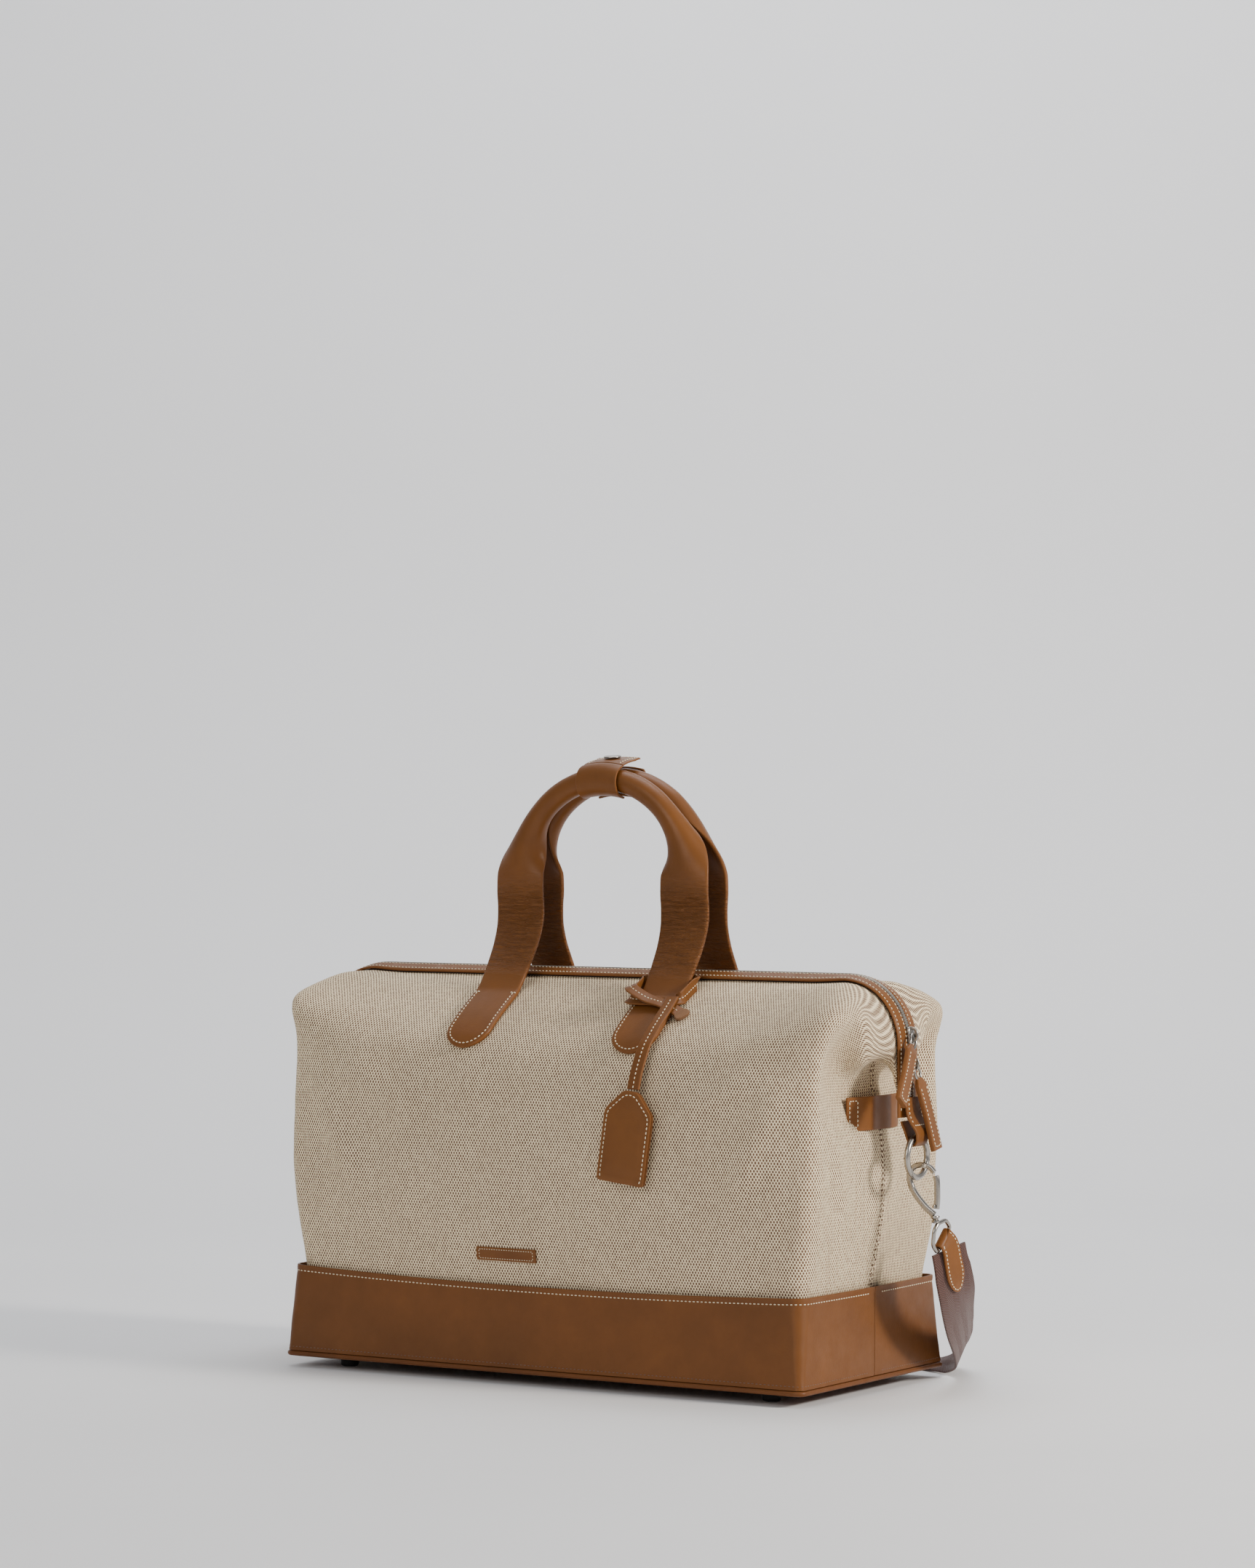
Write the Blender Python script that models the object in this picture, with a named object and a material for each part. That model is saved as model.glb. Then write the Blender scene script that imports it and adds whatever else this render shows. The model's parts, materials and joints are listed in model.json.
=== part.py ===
"""Weekender bag: canvas upper on a leather base, twin rolled leather handles held by a
snap keeper, two-way zip with leather bands, luggage tag, and a detachable webbing shoulder
strap clipped to a ring at each end.

Metres, +Z up, front of the bag towards -Y, width along X. The floor is z = 0.
Every piece is its own closed solid; pieces that touch keep a gap of about 0.3 mm.
"""
import bpy
import math
from mathutils import Matrix, Vector

# ---------------------------------------------------------------- driving dimensions
BASE_W, BASE_D = 0.500, 0.232          # outline of the base at its piping
TOP_W, TOP_D = 0.4935, 0.2200          # outline at the leather's folded top edge
FOOT_R, FOOT_H = 0.0075, 0.0087
FOOT_X, FOOT_Y = 0.205, 0.086
LEATHER = 0.0020                       # base leather
CANVAS = 0.0016
GAP = 0.0003
BAND_Z0, BAND_Z1 = 0.0136, 0.0850      # base leather, bottom and top
ZIP_Z = 0.335                          # ridge height of the zip
ZIP_R = 0.056                          # bend of the zip at each end
ZIP_XC, ZIP_ZC = 0.226, ZIP_Z - ZIP_R  # centre of that bend
ZIP_END = 0.371                        # half length of the zip along its run
LEG_X = 0.0805                         # handle legs, centre
STRAP_W, STRAP_T = 0.042, 0.0036       # handle leather
GRIP_R = 0.0098                        # rolled grip, outer radius
ARCH_R, ARCH_Z = 0.0805, 0.4105        # centre line of the rolled arch
HINGE_Y, HINGE_Z = -0.0500, 0.3160     # line that the front handle folds about
RING_X, RING_Z = 0.2885, 0.1905        # strap ring centre
RING_R, RING_WIRE = 0.0163, 0.0025
WEB_W, WEB_T = 0.038, 0.0022
Y_SHIFT = 0.0053                       # puts the origin below the middle of the bag's box

# ---------------------------------------------------------------- materials
COL = {
    "canvas": ((0.58, 0.49, 0.37), 0.9, 0.0),
    "leather": ((0.21, 0.075, 0.025), 0.45, 0.0),
    "leather_top": ((0.24, 0.085, 0.027), 0.42, 0.0),
    "nickel": ((0.60, 0.57, 0.52), 0.3, 1.0),
    "antique": ((0.32, 0.27, 0.22), 0.35, 1.0),
    "webbing": ((0.085, 0.035, 0.024), 0.85, 0.0),
    "rubber": ((0.015, 0.014, 0.013), 0.7, 0.0),
    "board": ((0.30, 0.25, 0.19), 0.8, 0.0),
    "lining": ((0.30, 0.22, 0.14), 0.8, 0.0),
    "card": ((0.85, 0.83, 0.78), 0.7, 0.0),
    "cord": ((0.62, 0.58, 0.50), 0.85, 0.0),
}


def clear_scene():
    for o in list(bpy.data.objects):
        bpy.data.objects.remove(o, do_unlink=True)


def material(name, kind):
    m = bpy.data.materials.new(name)
    m.use_nodes = True
    b = m.node_tree.nodes["Principled BSDF"]
    c, r, metal = COL[kind]
    b.inputs["Base Color"].default_value = (*c, 1)
    b.inputs["Roughness"].default_value = r
    b.inputs["Metallic"].default_value = metal
    return m


def volume6(v, f):
    t = 0.0
    for p in f:
        a = Vector(v[p[0]])
        for i in range(1, len(p) - 1):
            t += a.dot(Vector(v[p[i]]).cross(Vector(v[p[i + 1]])))
    return t


def add(name, v, f, kind, smooth=35):
    """A named object from points and faces, turned to face out."""
    if volume6(v, f) < 0:
        f = [tuple(reversed(p)) for p in f]
    me = bpy.data.meshes.new(name)
    me.from_pydata([tuple(p) for p in v], [], f)
    me.validate()
    me.update()
    ob = bpy.data.objects.new(name, me)
    bpy.context.scene.collection.objects.link(ob)
    me.materials.append(material("mat_" + name, kind))
    if smooth:
        me.shade_smooth()
        me.set_sharp_from_angle(angle=math.radians(smooth))
    ob.location = (0.0, Y_SHIFT, 0.0)
    return ob


def mirror(v, axis):
    return [tuple(-c if i == axis else c for i, c in enumerate(p)) for p in v]


# ---------------------------------------------------------------- small maths
def lerp(a, b, t):
    return a + (b - a) * t


def catmull(pts, u):
    """Smooth curve through pts (tuples), u from 0 to len - 1."""
    n = len(pts)
    i = min(int(u), n - 2)
    t = u - i
    p1, p2 = pts[i], pts[i + 1]
    p0 = pts[i - 1] if i > 0 else tuple(2 * a - b for a, b in zip(p1, p2))
    p3 = pts[i + 2] if i + 2 < n else tuple(2 * b - a for a, b in zip(p1, p2))
    return tuple(
        0.5 * (2 * b + (c - a) * t + (2 * a - 5 * b + 4 * c - d) * t * t + (3 * b - a - 3 * c + d) * t ** 3)
        for a, b, c, d in zip(p0, p1, p2, p3)
    )


def polyline(pts, per):
    n = (len(pts) - 1) * per
    return [catmull(pts, i / per) for i in range(n)] + [tuple(pts[-1])]


def ring_faces(n_ring, n_sec, closed=False):
    """Quads between n_ring sections of n_sec points each."""
    f = []
    for i in range(n_ring if closed else n_ring - 1):
        a, b = i * n_sec, ((i + 1) % n_ring) * n_sec
        for j in range(n_sec):
            k = (j + 1) % n_sec
            f.append((a + j, a + k, b + k, b + j))
    return f


def loft(sections, closed=False):
    """Closed body from equal sections (lists of points)."""
    m = len(sections[0])
    v = [p for s in sections for p in s]
    f = ring_faces(len(sections), m, closed)
    if not closed:
        f.append(tuple(reversed(range(m))))
        f.append(tuple(range((len(sections) - 1) * m, len(sections) * m)))
    return v, f


def frames(path, up, closed=False):
    """Tangent, side and lift at each point of the path, lift kept near `up`."""
    out = []
    n = len(path)
    for i in range(n):
        a = Vector(path[(i - 1) % n if closed else max(i - 1, 0)])
        b = Vector(path[(i + 1) % n if closed else min(i + 1, n - 1)])
        t = (b - a).normalized()
        u = Vector(up(i) if callable(up) else up)
        s = t.cross(u).normalized()
        out.append((t, s, s.cross(t).normalized()))
    return out


def sweep(path, profile, up, closed=False):
    """profile(i) gives (side, lift) offsets."""
    secs = []
    for i, (p, (t, s, l)) in enumerate(zip(path, frames(path, up, closed))):
        secs.append([tuple(Vector(p) + s * a + l * b) for a, b in profile(i)])
    return loft(secs, closed)


def rect(w, h, r=0.0, n=2):
    """Rounded rectangle w x h as (side, lift) pairs."""
    if r <= 0:
        return [(-w / 2, -h / 2), (w / 2, -h / 2), (w / 2, h / 2), (-w / 2, h / 2)]
    pts = []
    for cx, cy, a0 in ((w / 2 - r, -h / 2 + r, -90), (w / 2 - r, h / 2 - r, 0), (-w / 2 + r, h / 2 - r, 90), (-w / 2 + r, -h / 2 + r, 180)):
        for k in range(n + 1):
            a = math.radians(a0 + 90 * k / n)
            pts.append((cx + r * math.cos(a), cy + r * math.sin(a)))
    return pts


def circle(r, n=10):
    return [(r * math.cos(2 * math.pi * k / n), r * math.sin(2 * math.pi * k / n)) for k in range(n)]


def shell(P, t, flip=1):
    """Closed thin sheet: outer points P[i][j], pushed back by t along the surface normal."""
    nu, nv = len(P), len(P[0])
    outer, inner = [], []
    for i in range(nu):
        for j in range(nv):
            a = Vector(P[min(i + 1, nu - 1)][j]) - Vector(P[max(i - 1, 0)][j])
            b = Vector(P[i][min(j + 1, nv - 1)]) - Vector(P[i][max(j - 1, 0)])
            n = a.cross(b).normalized() * flip
            outer.append(tuple(P[i][j]))
            inner.append(tuple(Vector(P[i][j]) - n * t))
    v = outer + inner
    m = nu * nv
    f = []
    idx = lambda i, j: i * nv + j
    for i in range(nu - 1):
        for j in range(nv - 1):
            q = (idx(i, j), idx(i + 1, j), idx(i + 1, j + 1), idx(i, j + 1))
            f.append(q)
            f.append(tuple(m + k for k in reversed(q)))
    for i in range(nu - 1):
        for j, s in ((0, 1), (nv - 1, -1)):
            a, b = idx(i, j), idx(i + 1, j)
            f.append((b, a, m + a, m + b)[::s])
    for j in range(nv - 1):
        for i, s in ((0, -1), (nu - 1, 1)):
            a, b = idx(i, j), idx(i, j + 1)
            f.append((b, a, m + a, m + b)[::s])
    return v, f


def box(cx, cy, cz, sx, sy, sz):
    v = [(cx + sx * a / 2, cy + sy * b / 2, cz + sz * c / 2) for c in (-1, 1) for a, b in ((-1, -1), (1, -1), (1, 1), (-1, 1))]
    return v, [(3, 2, 1, 0), (4, 5, 6, 7), (0, 1, 5, 4), (1, 2, 6, 5), (2, 3, 7, 6), (3, 0, 4, 7)]


def cylinder(p, axis, r, h, n=16, bevel=0.0):
    """Turned disc or pin from p along axis, with an optional eased far edge."""
    ax = Vector(axis).normalized()
    s = ax.orthogonal().normalized()
    t = ax.cross(s)
    prof = [(r, 0.0), (r, h - bevel), (r - bevel, h)] if bevel else [(r, 0.0), (r, h)]
    secs = []
    for rr, hh in prof:
        secs.append([tuple(Vector(p) + ax * hh + (s * math.cos(a) + t * math.sin(a)) * rr) for a in [2 * math.pi * k / n for k in range(n)]])
    return loft(secs)


def outline(w, d, r, n_side=(8, 4), n_c=3):
    """Rounded rectangle in plan, starting at (+w/2, 0) and running towards -Y (clockwise from above)."""
    pts = []
    hx, hy = w / 2, d / 2
    for k in range(n_side[1] // 2):
        pts.append((hx, -(hy - r) * k / (n_side[1] // 2)))
    def corner(cx, cy, a0):
        for k in range(n_c + 1):
            a = math.radians(a0 - 90 * k / n_c)
            pts.append((cx + r * math.cos(a), cy + r * math.sin(a)))
    corner(hx - r, -hy + r, 0)
    for k in range(1, n_side[0]):
        pts.append((lerp(hx - r, -hx + r, k / n_side[0]), -hy))
    corner(-hx + r, -hy + r, -90)
    for k in range(1, n_side[1]):
        pts.append((-hx, lerp(-hy + r, hy - r, k / n_side[1])))
    corner(-hx + r, hy - r, 180)
    for k in range(1, n_side[0]):
        pts.append((lerp(-hx + r, hx - r, k / n_side[0]), hy))
    corner(hx - r, hy - r, 90)
    for k in range(1, n_side[1] // 2):
        pts.append((hx, (hy - r) * (1 - k / (n_side[1] // 2))))
    return pts


# ---------------------------------------------------------------- the zip's run
def zip_at(t):
    """Point (x, z), tangent and outward normal of the zip's ridge at run length t from the middle."""
    s, t = (-1.0 if t < 0 else 1.0), abs(t)
    arc = ZIP_R * math.pi / 2
    if t <= ZIP_XC:
        p, a = (t, ZIP_Z), 0.0
    elif t <= ZIP_XC + arc:
        a = (t - ZIP_XC) / ZIP_R
        p = (ZIP_XC + ZIP_R * math.sin(a), ZIP_ZC + ZIP_R * math.cos(a))
    else:
        a = math.pi / 2
        p = (ZIP_XC + ZIP_R, ZIP_ZC - (t - ZIP_XC - arc))
    n = (math.sin(a), math.cos(a))
    return (s * p[0], p[1]), (s * n[0], n[1])


def zip_pt(t, y, n):
    p, nn = zip_at(t)
    return (p[0] + nn[0] * n, y, p[1] + nn[1] * n)


def zip_run(end):
    """Run lengths from -end to end; every strip of the zip shares them, so their bends nest."""
    arc = ZIP_R * math.pi / 2
    half = [0.0, 0.075, 0.150, 0.194, 0.210, ZIP_XC] + [ZIP_XC + arc * k / 11 for k in range(1, 12)] + [end]
    return [-t for t in half[:0:-1]] + half


def zip_strip(name, section, kind, end=ZIP_END):
    secs = [[zip_pt(t, y, n) for y, n in (section(t) if callable(section) else section)] for t in zip_run(end)]
    v, f = loft(secs)
    return add(name, v, f, kind)


# ---------------------------------------------------------------- canvas
# Each column climbs one line of the cloth, from inside the base leather to the zip.
# s is the distance round the bag from the middle of the front, t the run along the zip.
def zslope(t):
    """How steeply the zip's leather bands fall away from its ridge: a roof on top, nearly flat round the bends."""
    u = max(0.0, min(1.0, (abs(t) - (ZIP_XC - 0.030)) / 0.075))
    return lerp(0.40, 0.10, u * u * (3 - 2 * u))


def zunder(t):
    """Depth of the canvas edge under the band, measured from the ridge."""
    return -(0.0039 + 0.0098 * zslope(t))


def zedge(t, y=-0.0128, n=None):
    return zip_pt(t, y, zunder(t) if n is None else n)


RUN = [0.0, 0.080, 0.150, 0.201, 0.238, 0.270, 0.312, 0.358]
COLUMNS = [
    [(0.000, -0.1060, 0.066), (0.000, -0.1066, 0.083), (0.000, -0.1140, 0.150), (0.000, -0.1130, 0.213), (0.000, -0.1080, 0.252), (0.000, -0.0925, 0.2800), (0.000, -0.0490, 0.3110), zedge(0.0)],
    [(0.080, -0.1060, 0.066), (0.080, -0.1066, 0.083), (0.080, -0.1137, 0.150), (0.080, -0.1130, 0.213), (0.080, -0.1080, 0.252), (0.080, -0.0925, 0.2800), (0.080, -0.0484, 0.3124), zedge(0.080)],
    [(0.150, -0.1055, 0.066), (0.150, -0.1062, 0.083), (0.151, -0.1130, 0.150), (0.152, -0.1125, 0.213), (0.153, -0.1080, 0.253), (0.154, -0.0930, 0.2830), (0.152, -0.0480, 0.3150), zedge(0.150)],
    [(0.200, -0.1050, 0.066), (0.200, -0.1056, 0.083), (0.203, -0.1120, 0.150), (0.207, -0.1110, 0.215), (0.212, -0.1065, 0.260), (0.216, -0.0920, 0.2950), (0.210, -0.0470, 0.3210), zedge(0.201)],
    [(0.2365, -0.1010, 0.066), (0.2375, -0.1015, 0.083), (0.2465, -0.1050, 0.150), (0.2505, -0.1020, 0.215), (0.2535, -0.0960, 0.268), (0.2620, -0.0870, 0.3060), (0.2500, -0.0440, 0.3255), zedge(0.238)],
    [(0.2425, -0.0700, 0.066), (0.2435, -0.0705, 0.083), (0.2520, -0.0720, 0.150), (0.2525, -0.0700, 0.212), (0.2445, -0.0670, 0.266), (0.2690, -0.0570, 0.2985), (0.2655, -0.0335, 0.3095), zedge(0.270)],
    [(0.2425, -0.0350, 0.066), (0.2440, -0.0352, 0.083), (0.2540, -0.0360, 0.150), (0.2535, -0.0345, 0.208), (0.2430, -0.0370, 0.250), (0.2630, -0.0400, 0.2670), (0.2762, -0.0270, 0.2780), zedge(0.312)],
    [(0.2430, -0.0004, 0.066), (0.2445, -0.0004, 0.083), (0.2565, -0.0004, 0.150), (0.2555, -0.0004, 0.208), (0.2470, -0.0004, 0.246), (0.2500, -0.0004, 0.2660), (0.2655, -0.0004, 0.2600), zedge(0.358, y=-0.0004, n=-0.0090)],
]


def cloth(cu, rv):
    """Point of the front-right quarter at column cu and row rv (both real numbers)."""
    rows = len(COLUMNS[0])
    col = []
    first = [tuple(-c if k == 0 else c for k, c in enumerate(p)) for p in COLUMNS[1]]
    n = len(COLUMNS)
    i = min(int(cu), n - 2)
    t = cu - i
    for r in range(rows):
        p1, p2 = COLUMNS[i][r], COLUMNS[i + 1][r]
        p0 = COLUMNS[i - 1][r] if i > 0 else first[r]
        p3 = COLUMNS[i + 2][r] if i + 2 < n else (p1[0], -p1[1], p1[2])
        col.append(tuple(0.5 * (2 * b + (c - a) * t + (2 * a - 5 * b + 4 * c - d) * t * t + (3 * b - a - 3 * c + d) * t ** 3) for a, b, c, d in zip(p0, p1, p2, p3)))
    p = catmull(col, rv)
    return (p[0], min(p[1], -0.0004), p[2])


def canvas_grid(steps=(1, 1, 1, 2, 4, 5, 4), nr=2):
    rows = (len(COLUMNS[0]) - 1) * nr
    us = [i + k / n for i, n in enumerate(steps) for k in range(n)] + [float(len(steps))]
    right = []
    for u in us:
        col = [cloth(u, j / nr) for j in range(rows + 1)]
        i = min(int(u), len(RUN) - 2)
        t = lerp(RUN[i], RUN[i + 1], u - i)
        close = max(0.0, (t - 0.340) / (RUN[-1] - 0.340))
        col[-1] = zedge(t, lerp(-0.0128, -0.0004, close * close), lerp(zunder(t), -0.0090, close))
        right.append(col)
    left = [[(-p[0], p[1], p[2]) for p in c] for c in right[:0:-1]]
    return left + right


def roof(x, y):
    """Height and up-slope of the canvas at x on the front roof, for the sewn tabs."""
    col = [catmull([COLUMNS[k][r] for k in range(len(COLUMNS))], abs(x) / 0.08 if abs(x) < 0.08 else 1 + (abs(x) - 0.08) / 0.07) for r in range(8)]
    best = None
    for k in range(141):
        p = catmull(col, 3.0 + 4.0 * k / 140)
        if best is None or abs(p[1] - y) < abs(best[1] - y):
            best = p
    return best[2]


def roof_off(x, y, d):
    """Point (y, z) at distance d above the canvas roof at x, y."""
    a, b = roof(x, y - 0.003), roof(x, y + 0.003)
    n = Vector((-(b - a), 0.006)).normalized()
    return (y + n.x * d, (a + b) / 2 + n.y * d)


def build_canvas():
    G = canvas_grid()
    v, f = shell(G, CANVAS)
    v = [(p[0], min(p[1], -0.0003), p[2]) for p in v]
    # the sheet's outer side faces away from the bag
    add("canvas_front", v, f, "canvas", 60)
    add("canvas_back", mirror(v, 1), [tuple(reversed(q)) for q in f], "canvas", 60)


def build_base():
    # leather band, in a front and a back half that meet at the side seams
    lo = outline(BASE_W - 0.0006, BASE_D - 0.0006, 0.008)
    hi = outline(TOP_W, TOP_D, 0.012)
    n = len(lo)
    half = [k for k in range(n) if lo[k][1] < -1e-6]
    G = []
    def pt(k, u):
        a, b = lo[k], hi[k]
        x, y, z = lerp(a[0], b[0], u), lerp(a[1], b[1], u), lerp(BAND_Z0, BAND_Z1, u)
        mid = max(0.0, 1 - (abs(x) / 0.24) ** 2) if y < -0.09 else 0.0
        side = max(0.0, 1 - (y / 0.105) ** 2) if abs(x) > 0.235 else 0.0
        z -= 0.005 * mid * u
        y -= 0.0010 * mid * u
        x += math.copysign(0.0035 * side * u, x)
        return (x, y, z)
    us = (0.0, 0.12, 0.4, 0.7, 1.0)
    ends = []
    for sgn in (1, -1):
        row = []
        for u in us:
            x = lerp(BASE_W / 2 - 0.0003, TOP_W / 2, u) + 0.0035 * u
            row.append((sgn * x, -0.0003, lerp(BAND_Z0, BAND_Z1, u)))
        ends.append(row)
    G = [ends[0]] + [[pt(k, u) for u in us] for k in half] + [ends[1]]
    G = G[::-1]
    v, f = shell(G, LEATHER)
    add("base_band_front", v, f, "leather", 50)
    add("base_band_back", mirror(v, 1), [tuple(reversed(q)) for q in f], "leather", 50)
    # bottom leather, stiffener and piping
    o = outline(BASE_W - 0.0080, BASE_D - 0.0080, 0.0050)
    v, f = loft([[(x, y, 0.0090) for x, y in o], [(x, y, 0.0112) for x, y in o]])
    add("base_panel", v, f, "leather", 35)
    o = outline(0.472, 0.204, 0.008)
    v, f = loft([[(x, y, 0.0116) for x, y in o], [(x, y, 0.0146) for x, y in o]])
    add("base_board", v, f, "board", 35)
    path = [(x, y, 0.01120) for x, y in outline(BASE_W - 0.0022, BASE_D - 0.0022, 0.0075, (10, 6), 5)]
    v, f = sweep(path, lambda i: circle(0.0021, 8), (0, 0, 1), closed=True)
    # inner side of the piping is trimmed flat so that the bottom leather fits inside it
    hx, hy = (BASE_W - 0.0050) / 2 + GAP, (BASE_D - 0.0050) / 2 + GAP
    add("base_piping", v, f, "leather", 60)
    for name, sx, sy in (("foot_front_left", -1, -1), ("foot_front_right", 1, -1), ("foot_back_left", -1, 1), ("foot_back_right", 1, 1)):
        v, f = cylinder((sx * FOOT_X, sy * FOOT_Y, FOOT_H), (0, 0, -1), FOOT_R, FOOT_H, 20, 0.0012)
        add(name, v, f, "rubber", 40)


def build_lining():
    secs_o = [(0.232, 0.098, 0.0150), (0.2345, 0.1000, 0.030), (0.2350, 0.1000, 0.080), (0.2380, 0.1020, 0.150), (0.2370, 0.1010, 0.205), (0.2330, 0.0950, 0.236)]
    t = 0.0010
    v = []
    n = None
    rings = []
    for hx, hy, z in secs_o:
        rings.append([(x, y, z) for x, y in outline(2 * hx, 2 * hy, 0.018, (6, 4), 3)])
    for hx, hy, z in reversed(secs_o):
        rings.append([(x, y, max(z, 0.0150 + t)) for x, y in outline(2 * (hx - t), 2 * (hy - t), 0.017, (6, 4), 3)])
    v, f = loft(rings)
    add("lining", v, f, "lining", 50)


def build_zip():
    def band(y0, y1, top, t):
        drop = abs(y1) - abs(y0)
        return lambda u: [(y0, top), (y1, top - drop * zslope(u)), (y1, top - t - drop * zslope(u)), (y0, top - t)]
    for name, s in (("front", -1), ("back", 1)):
        zip_strip("zip_band_" + name, band(s * 0.0030, s * 0.0155, 0.0, 0.0023), "leather")
        zip_strip("zip_tape_" + name, band(s * 0.0006, s * 0.0118, -0.0032, 0.0006), "cord", 0.326)
    zip_strip("zip_chain", [(-0.0025, -0.0022), (-0.0025, 0.0002), (0.0025, 0.0002), (0.0025, -0.0022)], "antique", 0.362)


def slider(name, t, kind="nickel"):
    """Top plate, neck and arched bridge of a zip slider, standing on the zip at run length t."""
    p, n = zip_at(t)
    n = Vector((n[0], 0, n[1]))
    tan = Vector((n[2], 0, -n[0]))
    o = Vector((p[0], 0, p[1]))
    # plate outline along the run, seen from outside
    plate = [(-0.0068, 0.0030), (-0.0045, 0.0044), (0.0025, 0.0046), (0.0068, 0.0026)]
    pts = [(a, b) for a, b in plate] + [(a, -b) for a, b in reversed(plate)]
    lo = [tuple(o + tan * a + Vector((0, b, 0)) + n * 0.0007) for a, b in pts]
    mid = [tuple(o + tan * a + Vector((0, b, 0)) + n * 0.0023) for a, b in pts]
    hi = [tuple(o + tan * a * 0.9 + Vector((0, b * 0.86, 0)) + n * 0.0029) for a, b in pts]
    v, f = loft([lo, mid, hi])
    plate_ob = add(name, v, f, kind, 40)
    # bridge: a bent wire over the plate, joined to it by a union
    path = [tuple(o + tan * a + n * h) for a, h in polyline([(-0.0050, 0.0020), (-0.0046, 0.0050), (-0.0026, 0.0068), (0.0010, 0.0070), (0.0036, 0.0054), (0.0044, 0.0020)], 2)]
    v, f = sweep(path, lambda i: rect(0.0022, 0.0014), (0, 1, 0))
    b = add(name + "_bridge_guide", v, f, kind, 0)
    m = plate_ob.modifiers.new("bridge", "BOOLEAN")
    m.operation, m.solver, m.object = "UNION", "EXACT", b
    b.hide_render = True
    b.display_type = "WIRE"
    return o, n, tan


def wire_loop(name, path, r, n, kind, up, closed=True):
    v, f = sweep(path, lambda i: circle(r, n), up, closed=closed)
    return add(name, v, f, kind, 60)


def pull(tag, eye, d, face, length=0.056, width=0.0155):
    """Wire link through the slider's bridge and the stitched leather pull that hangs from it."""
    d, face = Vector(d).normalized(), Vector(face)
    face = (face - d * face.dot(d)).normalized()
    side = d.cross(face).normalized()
    eye = Vector(eye)
    # link: a long oval of wire lying in the plane of d and side
    pts = []
    for k in range(14):
        a = 2 * math.pi * k / 14
        pts.append(tuple(eye + d * (0.0066 - 0.0066 * math.cos(a)) + side * (0.0050 * math.sin(a))))
    wire_loop("pull_link_" + tag, pts, 0.00085, 6, "nickel", tuple(face))
    # leather: flat strip whose top folds round the link's lower bar and is slotted for it
    top = eye + d * 0.0144
    prof = [(-width / 2, 0.0), (width / 2, 0.0), (width / 2 + 0.0003, length * 0.5), (width / 2, length), (-width / 2, length), (-width / 2 - 0.0003, length * 0.5)]
    v, f = loft([[tuple(top + side * a + d * b + face * h) for a, b in prof] for h in (-0.0019, 0.0019)])
    add("pull_leather_" + tag, v, f, "leather_top", 35)


def build_pulls():
    slider("slider_upper", SL_UP)
    slider("slider_lower", SL_LO)
    p, n = zip_at(SL_UP)
    e = Vector((p[0], 0, p[1])) + Vector((n[0], 0, n[1])) * 0.0048
    pull("upper", e, (0.13, -0.58, -0.80), (0.98, 0.12, 0.1), 0.050)
    p, n = zip_at(SL_LO)
    e = Vector((p[0], 0, p[1])) + Vector((n[0], 0, n[1])) * 0.0048
    pull("lower", e, (0.19, 0.16, -0.97), (0.98, 0.10, 0.05), 0.056)


SL_UP = ZIP_XC + ZIP_R * (math.pi / 2 - math.radians(8.0))
SL_LO = ZIP_XC + ZIP_R * math.pi / 2 + 0.0150


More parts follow.
